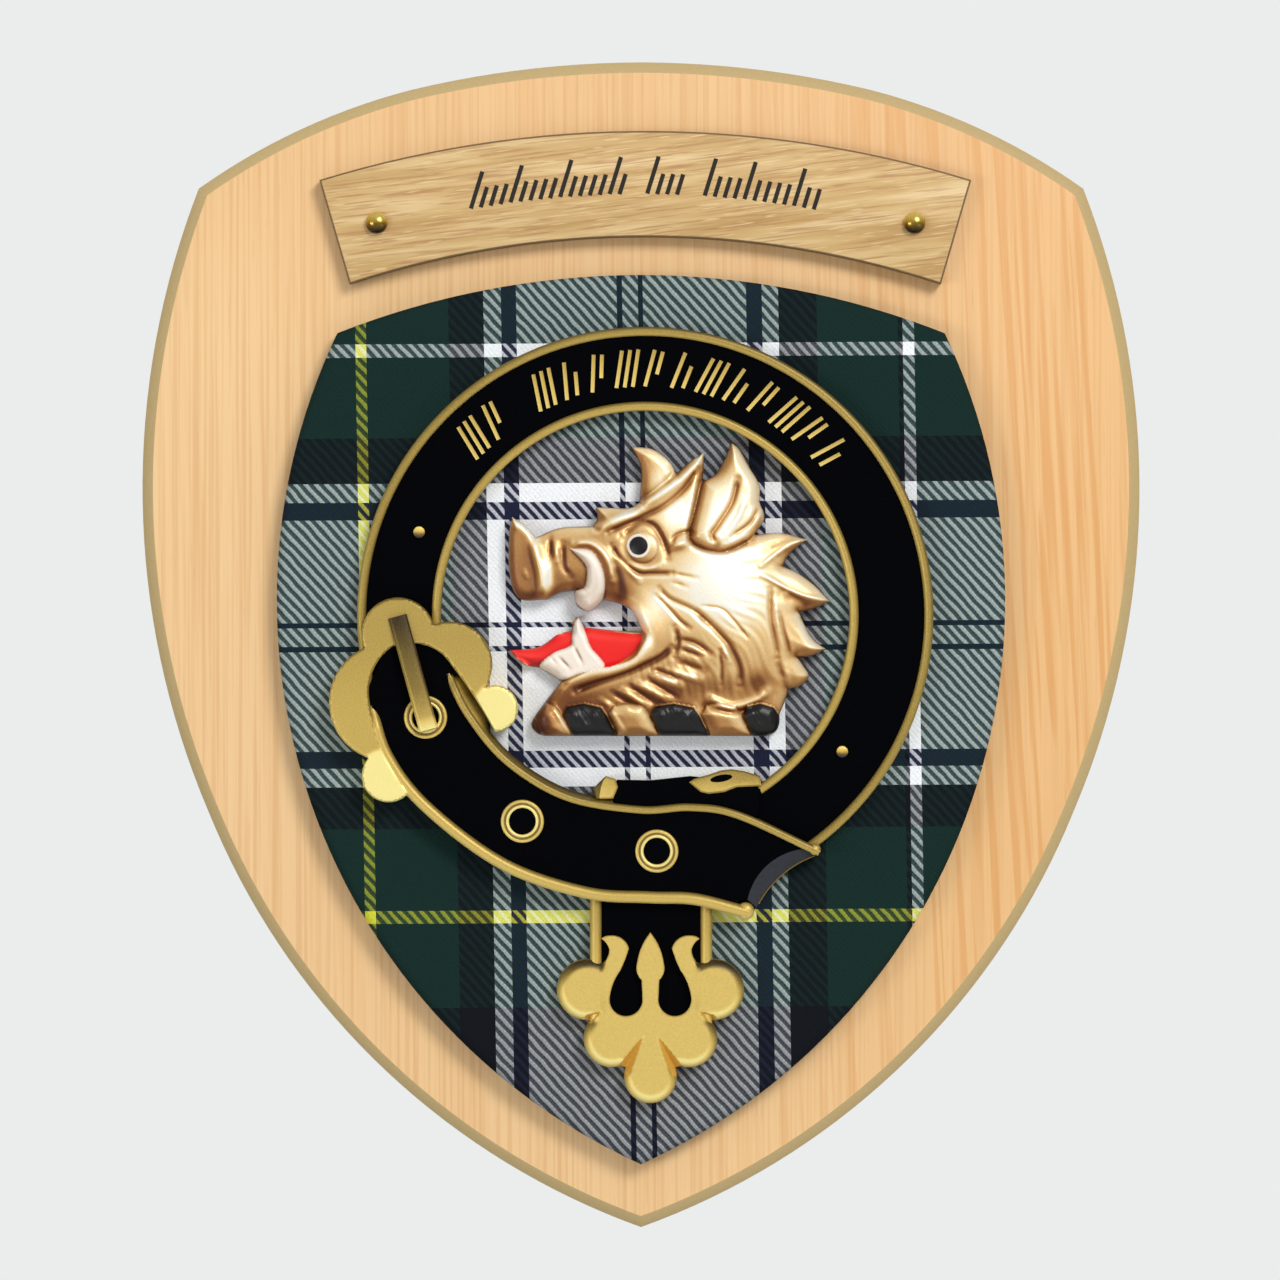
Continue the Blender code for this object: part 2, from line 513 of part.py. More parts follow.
def badge_straps(shapes):
    """The free strap end over the ring, the slack behind it and the hanging end."""
    spread = [smooth(edge, 0.5) for edge in (TAIL_UPPER, TAIL_LOWER)]
    upper, lower = ([edge[round(k)] for k in np.linspace(0, len(edge) - 1, TAIL_STEPS)] for edge in spread)
    strap_length("tail", lower, upper, TAIL_FRONT, TAIL_RIMS, shapes)
    hide(plate("tail_root", TAIL_ROOT, CAST_BACK, TAIL_FRONT, shapes))
    end = arcs(TAIL_END[0], [(TAIL_END[1], TAIL_END_HOLLOW)])
    fold = arcs(TAIL_FOLD[0], [(TAIL_FOLD[1], TAIL_FOLD_HOLLOW)])
    hide(plate("tail_fold", end + fold[::-1], CAST_BACK, TAIL_FRONT - TAIL_END_DROP, shapes))
    for k, (place, radius) in enumerate(TIP_KNOBS):
        knob = arcs((place[0] + radius, place[1]), [((place[0] - radius, place[1]), -radius)])
        knob = knob + [(2 * place[0] - x, 2 * place[1] - z) for x, z in knob[1:-1]]
        hide(plate(f"tip_knob_{k}", knob, CAST_BACK, TAIL_FRONT + RIM_RISE, shapes, edge=SMALL_EDGE))
    for k, (outline, front) in enumerate(zip((SLACK, SLACK_END, SLACK_LOOP), SLACK_FRONTS)):
        hide(plate(f"slack_{k}", outline, CAST_BACK, front, shapes))
    sides = [[(x, z) for z in (HANG_TOP, HANG_FOOT)] for x in (HANG_LEFT + HANG_RIM / 2, HANG_RIGHT - HANG_RIM / 2)]
    strap_length("hanging_end", *sides, STRAP_FRONT, (HANG_RIM, HANG_RIM), shapes)


def badge_buckle(shapes):
    """The buckle's scalloped frame and its prong."""
    frame = arcs(BUCKLE_START, BUCKLE_EDGE)[:-1]
    hide(plate("buckle_frame", frame, CAST_BACK, BUCKLE_FRONT, shapes, edge=BUCKLE_ROUNDING))
    way = (Vector(PRONG_FOOT) - Vector(PRONG_TOP)).normalized()
    across = Vector((-way.y, way.x)) * PRONG_WIDTH / 2
    top, foot = Vector(PRONG_TOP), Vector(PRONG_FOOT)
    bar = plate("prong", [top - across, foot - across, foot + across, top + across],
                STRAP_FRONT, BUCKLE_FRONT + PRONG_RISE, shapes, edge=SMALL_EDGE)
    hide(bar)


def badge_eyelets(shapes):
    """A raised ring of wire round each buckle hole of the strap."""
    for k, place in enumerate(EYELETS):
        bpy.ops.mesh.primitive_torus_add(
            major_segments=18, minor_segments=6, major_radius=EYELET_RADIUS * MM,
            minor_radius=EYELET_WIRE * MM, location=spot(place, TAIL_FRONT), rotation=(math.pi / 2, 0, 0),
        )
        ring = bpy.context.object
        ring.name = f"eyelet_{k}"
        ring.data.shade_smooth()
        bpy.context.collection.objects.unlink(ring)
        shapes.objects.link(ring)
        hide(ring)


def on_chape_lobe(x, z):
    """True on the edges of the chape's lobes and foot, and not on its spear and scrolls."""
    return z < CHAPE_SCROLL_FOOT or (abs(x - CHAPE_MIDDLE) > CHAPE_SCROLL_HALF and z < CHAPE_LOBE_TOP)


def badge_chape(shapes):
    """The lobed ornament at the hanging end."""
    half = arcs((CHAPE_MIDDLE, CHAPE_POINT), [(corner, -swell) for corner, swell in CHAPE_HALF])
    outline = mirrored(half, CHAPE_MIDDLE)[::-1]
    hide(plate("chape", outline, CAST_BACK, CHAPE_FRONT, shapes, edge=CHAPE_CHAMFER, eased=on_chape_lobe))


def badge_writing(shapes):
    """Slanting strokes along the top of the ring, which stand for its inscription."""
    angles = np.radians(np.linspace(WRITING_START, WRITING_END, WRITING_SLOTS))
    for k, angle in enumerate(angles):
        if k in WRITING_GAPS:
            continue
        out, along = Vector((math.cos(angle), math.sin(angle))), Vector((math.sin(angle), -math.cos(angle)))
        middle = Vector(RING_CENTRE) + out * WRITING_RADIUS
        lean = (out + along * (0.35 if k % 2 else -0.2)).normalized() * WRITING_HEIGHT / 2
        half = along * WRITING_STROKE / 2
        corners = [middle - lean - half, middle + lean - half, middle + lean + half, middle - lean + half]
        hide(plate(f"stroke_{k}", corners, STRAP_FRONT - WRITING_RISE, STRAP_FRONT + WRITING_RISE, shapes))


def make_badge(parts):
    """The cast strap-and-buckle badge, all one casting."""
    badge = badge_ring(parts)
    shapes = helpers("badge_shapes")
    badge_straps(shapes)
    badge_buckle(shapes)
    badge_eyelets(shapes)
    badge_chape(shapes)
    badge_writing(shapes)
    join(badge, "UNION", shapes)
    cuts = helpers("badge_cuts")
    pin_holes(cuts, BADGE_PIN, BADGE_PIN_PLACES, STRAP_FRONT)
    join(badge, "DIFFERENCE", cuts)


def reach(points, line):
    """How far each point is from a chain of straight runs."""
    starts, ends = np.array(line[:-1]), np.array(line[1:])
    ways = ends - starts
    offsets = points[:, None] - starts
    share = np.clip((offsets * ways).sum(2) / (ways * ways).sum(1), 0, 1)
    return np.linalg.norm(offsets - share[..., None] * ways, axis=2).min(1)


def within(points, outline):
    """True for each point inside a closed outline."""
    inside = np.zeros(len(points), bool)
    x, z = points[:, 0], points[:, 1]
    for (x0, z0), (x1, z1) in zip(outline, outline[1:] + outline[:1]):
        if z0 != z1:
            crossing = x0 + (z - z0) / (z1 - z0) * (x1 - x0)
            inside ^= ((z0 > z) != (z1 > z)) & (x < crossing)
    return inside


def rounded(distance, width):
    """0 at an edge, rising along a quarter circle to 1 where the edge is width away."""
    share = np.clip(distance / width, 0, 1)
    return np.sqrt(1 - (1 - share) ** 2)


def wreath_outline(k):
    """The outline of one twisted roll of the wreath."""
    left, right = WREATH_SEAMS[k], WREATH_SEAMS[k + 1]
    return [(left, WREATH_TOP), (left + WREATH_LEAN, WREATH_FOOT),
            (right + WREATH_LEAN, WREATH_FOOT), (right, WREATH_TOP)]


def head_relief(points, outline):
    """How far the head stands forward of its back at each point."""
    height = HEAD_WALL + HEAD_ROLL * rounded(reach(points, outline + outline[:1]), HEAD_ROLL_WIDTH)
    fade = rounded(reach(points, outline + outline[:1]), 4.0)
    for centre, half, turn, rise in HEAD_MASSES:
        c, s = math.cos(math.radians(turn)), math.sin(math.radians(turn))
        offset = points - np.array(centre)
        along, up = offset @ (c, s) / half[0], offset @ (-s, c) / half[1]
        height += fade * rise * np.exp(-(along ** 2 + up ** 2))
    rolls = {f"roll_{k}": (wreath_outline(k), WREATH_RISE, 1.6) for k in range(len(WREATH_SEAMS) - 1)}
    for form, rise, edge in (HEAD_FORMS | rolls).values():
        height += rise * rounded(reach(points, form + form[:1]), edge) * within(points, form)
    for line, half_width, rise in HEAD_LINES.values():
        height += fade * rise * np.exp(-((reach(points, smooth(line, 0.8)) / half_width) ** 2))
    return np.maximum(height, 0.8)


def make_head(parts):
    """The boar's head on its wreath: an outline filled with points that stand forward by the relief."""
    outline = []
    for stretch in HEAD_OUTLINE.values():
        outline += smooth(stretch, HEAD_STEP)[:-1]
    low, high = np.min(outline, axis=0), np.max(outline, axis=0)
    row = HEAD_STEP * math.sqrt(3) / 2
    grid = [(x + HEAD_STEP / 2 * (k % 2), z) for k, z in enumerate(np.arange(low[1], high[1], row))
            for x in np.arange(low[0], high[0], HEAD_STEP)]
    grid = np.array(grid)
    grid = grid[within(grid, outline) & (reach(grid, outline + outline[:1]) > 0.45 * HEAD_STEP)]
    loop = list(range(len(outline)))
    edges = [(k - 1 if k else loop[-1], k) for k in loop]
    places, _, faces, *_ = delaunay_2d_cdt([Vector(p) for p in outline + grid.tolist()], edges, [], 0, 1e-6)
    places = np.array([tuple(p) for p in places])
    inside = within(np.array([places[face].mean(0) for face in faces]), outline)
    shape = bmesh.new()
    front = [shape.verts.new(spot(p, CAST_BACK + h)) for p, h in zip(places, head_relief(places, outline))]
    for face, kept in zip(faces, inside):
        if kept:
            shape.faces.new([front[k] for k in face])
    edge = [front[k] for k in loop]
    behind = [shape.verts.new(spot(p, CAST_BACK)) for p in outline]
    for k in loop:
        shape.faces.new((edge[k - 1], edge[k], behind[k], behind[k - 1]))
    shape.faces.new(behind)
    new_object("boar_head", shape, parts, "head")


def main():
    for old in list(bpy.data.objects):
        bpy.data.objects.remove(old)
    parts = bpy.data.collections.new("wall_plaque")
    cutters = bpy.data.collections.new("cutters")
    for collection in (parts, cutters):
        bpy.context.scene.collection.children.link(collection)
    make_board(parts)
    make_panel(parts)
    make_cloth(parts)
    make_scroll(parts)
    make_pins(parts, SCROLL_PIN, SCROLL_PIN_PLACES, SCROLL_FRONT, 16)
    make_pins(parts, BADGE_PIN, BADGE_PIN_PLACES, STRAP_FRONT, 12)
    make_badge(parts)
    make_head(parts)


main()
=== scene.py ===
"""The looks of the heraldic wall plaque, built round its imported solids.

Each sub-assembly is a class that builds and dresses its own piece: the pine board,
the tartan-covered panel, the oak name strip, the brass pins, the strap-and-buckle
badge and the boar's head. Sizes are in millimetres and a place is (x, z) seen from
the front; a depth is a distance forward of the wall. Meshes are in metres.
"""

import cmath
import logging
import math
from collections.abc import Callable, Iterable, Sequence
from dataclasses import dataclass, field
from enum import Enum, IntEnum

import bmesh
import bpy
import numpy as np
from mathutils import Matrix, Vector
from mathutils.geometry import delaunay_2d_cdt


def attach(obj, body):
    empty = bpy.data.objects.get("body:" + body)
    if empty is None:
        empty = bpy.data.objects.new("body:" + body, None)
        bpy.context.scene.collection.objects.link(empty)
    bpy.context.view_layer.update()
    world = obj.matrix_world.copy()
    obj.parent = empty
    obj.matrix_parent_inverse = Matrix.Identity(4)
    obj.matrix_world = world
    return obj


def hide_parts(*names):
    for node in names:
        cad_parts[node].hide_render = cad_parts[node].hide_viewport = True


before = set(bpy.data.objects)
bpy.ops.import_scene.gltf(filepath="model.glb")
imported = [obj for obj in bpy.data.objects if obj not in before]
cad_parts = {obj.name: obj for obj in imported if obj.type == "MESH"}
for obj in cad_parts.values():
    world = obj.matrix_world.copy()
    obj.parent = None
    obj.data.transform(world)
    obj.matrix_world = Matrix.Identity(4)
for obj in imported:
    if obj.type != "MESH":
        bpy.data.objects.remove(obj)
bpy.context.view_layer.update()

LOG = logging.getLogger("wall_plaque")
MM = 0.001
RIM_SIDES = 20
REACH_CHUNK = 4000
Place = tuple[float, float]
Outline = list[Place]
Heights = Callable[[np.ndarray], np.ndarray]

# Depths forward of the wall
BOARD_FRONT = 9.5
STRIP_BACK, STRIP_FRONT = 9.8, 12.6
CLOTH_BACK, CLOTH_FRONT = 9.8, 14.6
CAST_BACK = 14.9
BAND_FRONT = 17.1
TAIL_FRONT = 18.6
BUCKLE_FRONT = 19.6
CHAPE_FRONT = 18.6


def arc(start: Place, end: Place, swell: float, flatness: float = 0.01) -> Outline:
    """Points after start on an arc to end.

    Args:
        start: Where the arc begins, which isn't among the points.
        end: Where it ends, the last point.
        swell: How far it swells to the right of the way it goes.
        flatness: How far a chord may stay from the true arc.

    Returns:
        The points of the arc.
    """
    a, b = complex(*start), complex(*end)
    turn = 4 * math.atan2(2 * swell, abs(b - a))
    if abs(turn) < 1e-6:
        return [end]
    centre = (a + b) / 2 + 1j * (b - a) / (2 * math.tan(turn / 2))
    count = max(2, math.ceil(abs(turn) / (2 * math.acos(1 - flatness / abs(a - centre)))))
    spots = [centre + (a - centre) * cmath.exp(1j * turn * k / count) for k in range(1, count)]
    return [(spot.real, spot.imag) for spot in spots] + [end]


def arcs(start: Place, moves: Iterable[tuple[Place, float]]) -> Outline:
    """Points along a chain of arcs.

    Args:
        start: The first point.
        moves: The end point and the swell of each arc.

    Returns:
        The chain's points, start included.
    """
    points = [start]
    for end, swell in moves:
        points += arc(points[-1], end, swell)
    return points


def around(centre: Place, radius: float, angles: Iterable[float]) -> Outline:
    """The places this far from centre at these angles."""
    return [(centre[0] + radius * math.cos(a), centre[1] + radius * math.sin(a)) for a in angles]


def mirrored(half: Outline, middle: float = 0.0) -> Outline:
    """A closed outline from one half that starts and ends on the line x = middle."""
    return half + [(2 * middle - x, z) for x, z in reversed(half) if abs(x - middle) > 1e-6]


def evened(line: Sequence[Place], step: float) -> Outline:
    """Evenly spaced points along a chain of straight runs, ends included.

    Args:
        line: The chain's corners.
        step: The spacing wanted.

    Returns:
        The new points.
    """
    spots = np.array(line, float)
    along = np.concatenate([[0], np.cumsum(np.linalg.norm(np.diff(spots, axis=0), axis=1))])
    stations = np.linspace(0, along[-1], max(1, round(along[-1] / step)) + 1)
    across, up = (np.interp(stations, along, spots[:, axis]).tolist() for axis in (0, 1))
    return list(zip(across, up))


def picked(line: Outline, count: int) -> Outline:
    """This many of a line's points, evenly spaced along it, both ends included."""
    return [line[round(k)] for k in np.linspace(0, len(line) - 1, count)]


def smooth(points: Sequence[Place], step: float) -> Outline:
    """Evenly spaced points on a smooth curve through the given ones.

    Args:
        points: What the curve passes through.
        step: The spacing wanted.

    Returns:
        The curve's points, both ends included.
    """
    spots = [np.array(p, float) for p in points]
    ends = [2 * spots[0] - spots[1], *spots, 2 * spots[-1] - spots[-2]]
    fine = [spots[0]]
    for a, b, c, d in zip(ends, ends[1:], ends[2:], ends[3:]):
        for t in np.linspace(0, 1, 17)[1:]:
            fine.append(
                0.5 * (2 * b + (c - a) * t + (2 * a - 5 * b + 4 * c - d) * t * t
                       + (3 * b - a - 3 * c + d) * t ** 3)
            )
    return evened([tuple(p) for p in fine], step)


def shrunk(outline: Outline, inset: float) -> Outline:
    """A closed counterclockwise outline moved inwards by inset, its corners kept sharp.

    Args:
        outline: The outline.
        inset: How far it moves.

    Returns:
        The moved outline.
    """
    spots = np.array(outline)
    ways = (np.roll(spots, -1, axis=0) - spots, spots - np.roll(spots, 1, axis=0))
    normals = [np.stack([-way[:, 1], way[:, 0]], 1) for way in ways]
    first, second = (n / np.linalg.norm(n, axis=1, keepdims=True) for n in normals)
    both = first + second
    return [tuple(p) for p in spots + inset * both * 2 / (both * both).sum(1)[:, None]]


def reach(points: np.ndarray, line: Sequence[Place]) -> np.ndarray:
    """How far each point is from a chain of straight runs.

    Args:
        points: The points, one a row.
        line: The chain's corners.

    Returns:
        One distance a point.
    """
    spots = np.array(line, float)
    starts, ways = spots[:-1], np.diff(spots, axis=0)
    lengths = np.maximum((ways * ways).sum(1), 1e-12)
    found = np.empty(len(points))
    for first in range(0, len(points), REACH_CHUNK):
        some = points[first:first + REACH_CHUNK]
        offsets = some[:, None] - starts
        share = np.clip((offsets * ways).sum(2) / lengths, 0, 1)
        gaps = np.linalg.norm(offsets - share[..., None] * ways, axis=2)
        found[first:first + REACH_CHUNK] = gaps.min(1)
    return found


def within(points: np.ndarray, outline: Sequence[Place]) -> np.ndarray:
    """True for each point inside a closed outline.

    Args:
        points: The points, one a row.
        outline: The outline's corners.

    Returns:
        One truth value a point.
    """
    inside = np.zeros(len(points), bool)
    x, z = points[:, 0], points[:, 1]
    corners = list(outline)
    for (x0, z0), (x1, z1) in zip(corners, corners[1:] + corners[:1]):
        if z0 != z1:
            inside ^= ((z0 > z) != (z1 > z)) & (x < x0 + (z - z0) / (z1 - z0) * (x1 - x0))
    return inside


def depth_inside(points: np.ndarray, outline: Sequence[Place]) -> np.ndarray:
    """The distance of each point from a closed outline, negative outside it."""
    closed = [*outline, outline[0]]
    return reach(points, closed) * np.where(within(points, outline), 1, -1)


def rounded(distance: np.ndarray, width: float) -> np.ndarray:
    """0 at an edge, rising along a quarter circle to 1 where the edge is width away."""
    share = np.clip(distance / width, 0, 1)
    return np.sqrt(1 - (1 - share) ** 2)


def ease(value: np.ndarray, low: float, high: float) -> np.ndarray:
    """0 below low and 1 above high, with a smooth rise between."""
    share = np.clip((value - low) / (high - low), 0, 1)
    return share * share * (3 - 2 * share)


@dataclass
class Shell:
    """One closed surface: points in millimetres, faces, and a finish number for each face."""

    points: list[tuple[float, float, float]] = field(default_factory=list)
    faces: list[tuple[int, ...]] = field(default_factory=list)
    slots: list[int] = field(default_factory=list)
    tones: list[float] = field(default_factory=list)

    def add_points(self, places: Iterable[Place], depths: Iterable[float], tone: float = 0.5) -> list[int]:
        """Adds points and gives their numbers.

        Args:
            places: Where they are, seen from the front.
            depths: How far forward of the wall each one is.
            tone: How light the paint is there, from 0 to 1.

        Returns:
            The numbers of the new points.
        """
        first = len(self.points)
        self.points += [(x, -depth, z) for (x, z), depth in zip(places, depths)]
        self.tones += [tone] * (len(self.points) - first)
        return list(range(first, len(self.points)))

    def add_face(self, corners: Sequence[int], slot: int = 0) -> None:
        """Adds one face with this finish."""
        self.faces.append(tuple(corners))
        self.slots.append(slot)

    def bridge(self, first: list[int], second: list[int], slot: int = 0, closed: bool = True) -> None:
        """Joins two rows of equally many points by a band of four-sided faces."""
        for k in range(0 if closed else 1, len(first)):
            self.add_face((first[k - 1], first[k], second[k], second[k - 1]), slot)

    def enclose(self, rows: Sequence[list[int]], slots: Sequence[int], end_slot: int) -> None:
        """Joins rows of points into a closed strip.

        Args:
            rows: The rows, in order round the strip.
            slots: The finish of each band from a row to the next.
            end_slot: The finish of the strip's two ends.
        """
        for first, second, slot in zip(rows, [*rows[1:], rows[0]], slots):
            self.bridge(first, second, slot, closed=False)
        for last in (0, -1):
            self.add_face([row[last] for row in rows], end_slot)

    def merge(self, other: "Shell") -> None:
        """Takes in another surface.

        Args:
            other: The surface to take in.
        """
        first = len(self.points)
        self.points += other.points
        self.tones += other.tones
        self.faces += [tuple(first + k for k in face) for face in other.faces]
        self.slots += other.slots

    def take_mesh(self, mesh: bpy.types.Mesh, slot: int, tone: float) -> None:
        """Takes in a Blender mesh, whose points are in metres, with one finish and tone.

        Args:
            mesh: The mesh.
            slot: Its finish's number.
            tone: How light its paint is.
        """
        first = len(self.points)
        self.points += [tuple(v.co / MM) for v in mesh.vertices]
        self.tones += [tone] * len(mesh.vertices)
        self.faces += [tuple(first + k for k in face.vertices) for face in mesh.polygons]
        self.slots += [slot] * len(mesh.polygons)

    def mesh(self, name: str, crease: float = 35.0) -> bpy.types.Mesh:
        """The surface as a Blender mesh in metres.

        Args:
            name: The mesh's name.
            crease: The angle in degrees above which an edge stays sharp.

        Returns:
            The new mesh, its faces turned outwards, with the tones as the attribute "tone".
        """
        made = bpy.data.meshes.new(name)
        made.from_pydata((np.array(self.points) * MM).tolist(), [], self.faces)
        made.polygons.foreach_set("material_index", self.slots)
        store(made, "tone", self.tones)
        shape = bmesh.new()
        shape.from_mesh(made)
        bmesh.ops.recalc_face_normals(shape, faces=shape.faces)
        shape.to_mesh(made)
        shape.free()
        made.shade_smooth()
        made.set_sharp_from_angle(angle=math.radians(crease))
        return made


def profiled(outline: Outline, rows: Sequence[tuple[float, float]], slots: Sequence[int] = ()) -> Shell:
    """A plate whose edge follows a profile all the way round.

    Args:
        outline: Its counterclockwise outline.
        rows: (inset, depth) of each row of the profile, from the back to the front.
        slots: The finish of each band between rows, then of the front; 0 if left out.

    Returns:
        The closed plate.
    """
    shell = Shell()
    rings = [shell.add_points(shrunk(outline, inset), [depth] * len(outline)) for inset, depth in rows]
    finishes = list(slots) or [0] * len(rows)
    for k, (first, second) in enumerate(zip(rings, rings[1:])):
        shell.bridge(first, second, finishes[k])
    shell.add_face(rings[0][::-1], finishes[0])
    shell.add_face(rings[-1], finishes[-1])
    return shell


def relief(outline: Outline, step: float, heights: Heights, back: float, slot: int = 0) -> Shell:
    """A plate with a flat back whose front stands forward by a rule.

    Args:
        outline: Its closed outline, with points about step apart.
        step: The spacing of the points inside.
        heights: Gives how far forward of back the front is at each place.
        back: The depth of the flat back.
        slot: Its finish.

    Returns:
        The closed relief. The outline's points come first.
    """
    low, high = np.min(outline, axis=0), np.max(outline, axis=0)
    rows = np.arange(low[1], high[1], step * math.sqrt(3) / 2)
    columns = np.arange(low[0], high[0], step)
    grid = np.concatenate([np.stack([columns + step / 2 * (k % 2), np.full(len(columns), z)], 1)
                           for k, z in enumerate(rows)])
    grid = grid[within(grid, outline)]
    grid = grid[reach(grid, [*outline, outline[0]]) > 0.45 * step]
    count = len(outline)
    edges = [((k - 1) % count, k) for k in range(count)]
    seeds = [Vector(p) for p in [*outline, *grid.tolist()]]
    places, _, faces, *_ = delaunay_2d_cdt(seeds, edges, [], 0, 1e-7)
    spots = np.array([tuple(p) for p in places])
    corners = np.array(faces)
    kept = corners[within(spots[corners].mean(1), outline)]
    shell = Shell()
    front = shell.add_points([tuple(p) for p in spots], back + heights(spots))
    for face in kept.tolist():
        shell.add_face(face, slot)
    behind = shell.add_points(outline, [back] * count)
    shell.bridge(front[:count], behind, slot)
    shell.add_face(behind[::-1], slot)
    return shell


def lofted(left: Outline, right: Outline, fronts: Sequence[float], back: float,
           slots: tuple[int, int]) -> Shell:
    """A flat strip between two edges.

    Args:
        left: Points of one edge.
        right: As many points of the other.
        fronts: The front's depth at each station.
        back: The depth of its back.
        slots: The finish of its front and of its sides.

    Returns:
        The closed strip.
    """
    shell = Shell()
    rows = [shell.add_points(left, [back] * len(left)), shell.add_points(left, fronts),
            shell.add_points(right, fronts), shell.add_points(right, [back] * len(left))]
    face, side = slots
    shell.enclose(rows, (side, face, side, side), side)
    return shell


def turned(centre: Place, profile: Sequence[tuple[float, float]], steps: int, slot: int = 0) -> Shell:
    """A shape turned about the line that points forward from centre.

    Args:
        centre: Where the line is.
        profile: (radius, depth) of each ring, or of a pole where the radius is 0.
        steps: How many points a ring has.
        slot: Its finish.

    Returns:
        The closed shape.
    """
    shell = Shell()
    angles = np.linspace(0, 2 * math.pi, steps, endpoint=False)
    rings = []
    for radius, depth in profile:
        count = 1 if radius == 0 else steps
        rings.append(shell.add_points(around(centre, radius, angles[:count]), [depth] * count))
    closed = profile[0][0] > 0
    for first, second in zip(rings, rings[1:] + rings[:1] if closed else rings[1:]):
        wide, narrow = (first, second) if len(first) > 1 else (second, first)
        for k in range(steps):
            if len(narrow) > 1:
                shell.add_face((wide[k - 1], wide[k], narrow[k], narrow[k - 1]), slot)
            else:
                shell.add_face((wide[k - 1], wide[k], narrow[0]), slot)
    return shell


def store(mesh: bpy.types.Mesh, name: str, values: Sequence[float]) -> None:
    """Gives each point of the mesh a number under this name."""
    made = mesh.attributes.get(name) or mesh.attributes.new(name, "FLOAT", "POINT")
    made.data.foreach_set("value", np.asarray(values, np.float32))


def vertex_rows(mesh: bpy.types.Mesh, name: str) -> np.ndarray:
    """What the mesh holds for its points, such as their normals.

    Args:
        mesh: The mesh.
        name: The property's name, "co" or "normal".

    Returns:
        Three numbers a point, one point a row.
    """
    found = np.empty(len(mesh.vertices) * 3)
    mesh.vertices.foreach_get(name, found)
    return found.reshape(-1, 3)


def new_piece(name: str, mesh: bpy.types.Mesh, finishes: Sequence[bpy.types.Material]) -> bpy.types.Object:
    """A scene object with these finishes, at the origin.

    Args:
        name: The object's name.
        mesh: Its mesh.
        finishes: Its materials, in slot order.

    Returns:
        The object.
    """
    for finish in finishes:
        mesh.materials.append(finish)
    made = bpy.data.objects.new(name, mesh)
    bpy.context.scene.collection.objects.link(made)
    return made


def stand_for(piece: bpy.types.Object, nodes: Sequence[str]) -> None:
    """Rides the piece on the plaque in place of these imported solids.

    Args:
        piece: The finished piece.
        nodes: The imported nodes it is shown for.
    """
    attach(piece, "root")
    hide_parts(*nodes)
    LOG.info("%s: %d faces", piece.name, len(piece.data.polygons))


class NodeBuilder:
    """Adds nodes and links to a node tree in few words."""

    def __init__(self, tree: bpy.types.NodeTree) -> None:
        """Starts work on a tree."""
        self.tree = tree

    def add(self, kind: str, links: dict[object, object] | None = None, **settings: object) -> bpy.types.Node:
        """Adds a node.

        Args:
            kind: Its type.
            links: An output socket or a plain value for each input, by name or number.
            settings: Its properties.

        Returns:
            The node.
        """
        node = self.tree.nodes.new(kind)
        for label, value in settings.items():
            setattr(node, label, value)
        for label, value in (links or {}).items():
            self.feed(node.inputs[label], value)
        return node

    def feed(self, socket: bpy.types.NodeSocket, value: object) -> None:
        """Gives an input a link or a plain value.

        Args:
            socket: The input.
            value: An output socket, or a plain value.
        """
        if isinstance(value, bpy.types.NodeSocket):
            self.tree.links.new(value, socket)
        else:
            socket.default_value = value


@dataclass
class Growth(NodeBuilder):
    """A Geometry Nodes tree that is used once and made a plain mesh."""

    name: str
    inputs: dict[str, float]
    tree: bpy.types.NodeTree = field(init=False)
    entry: bpy.types.Node = field(init=False)

    def __post_init__(self) -> None:
        """Makes the tree with a geometry socket each way and a named number for each size."""
        self.tree = bpy.data.node_groups.new(self.name, "GeometryNodeTree")
        self.tree.interface.new_socket("Geometry", in_out="INPUT", socket_type="NodeSocketGeometry")
        for label, value in self.inputs.items():
            made = self.tree.interface.new_socket(label, in_out="INPUT", socket_type="NodeSocketFloat")
            made.default_value = value
        self.tree.interface.new_socket("Geometry", in_out="OUTPUT", socket_type="NodeSocketGeometry")
        self.entry = self.tree.nodes.new("NodeGroupInput")

    def grown(self, seed: bpy.types.Mesh, last: bpy.types.Node, finish: bpy.types.Material) -> bpy.types.Mesh:
        """Runs the tree on a seed mesh.

        Args:
            seed: The points or path that the tree works on.
            last: The node that gives the finished geometry.
            finish: What Set Material gives it.

        Returns:
            The result as a plain mesh.
        """
        real = self.add("GeometryNodeRealizeInstances", {"Geometry": last.outputs[0]})
        painted = self.add("GeometryNodeSetMaterial", {"Geometry": real.outputs[0], "Material": finish})
        self.add("NodeGroupOutput", {"Geometry": painted.outputs[0]})
        carrier = bpy.data.objects.new(self.name, seed)
        bpy.context.scene.collection.objects.link(carrier)
        modifier = carrier.modifiers.new(self.name, "NODES")
        modifier.node_group = self.tree
        for item in self.tree.interface.items_tree:
            if item.in_out == "INPUT" and item.name in self.inputs:
                modifier[item.identifier] = float(self.inputs[item.name])
        graph = bpy.context.evaluated_depsgraph_get()
        made = bpy.data.meshes.new_from_object(carrier.evaluated_get(graph))
        bpy.data.objects.remove(carrier)
        return made


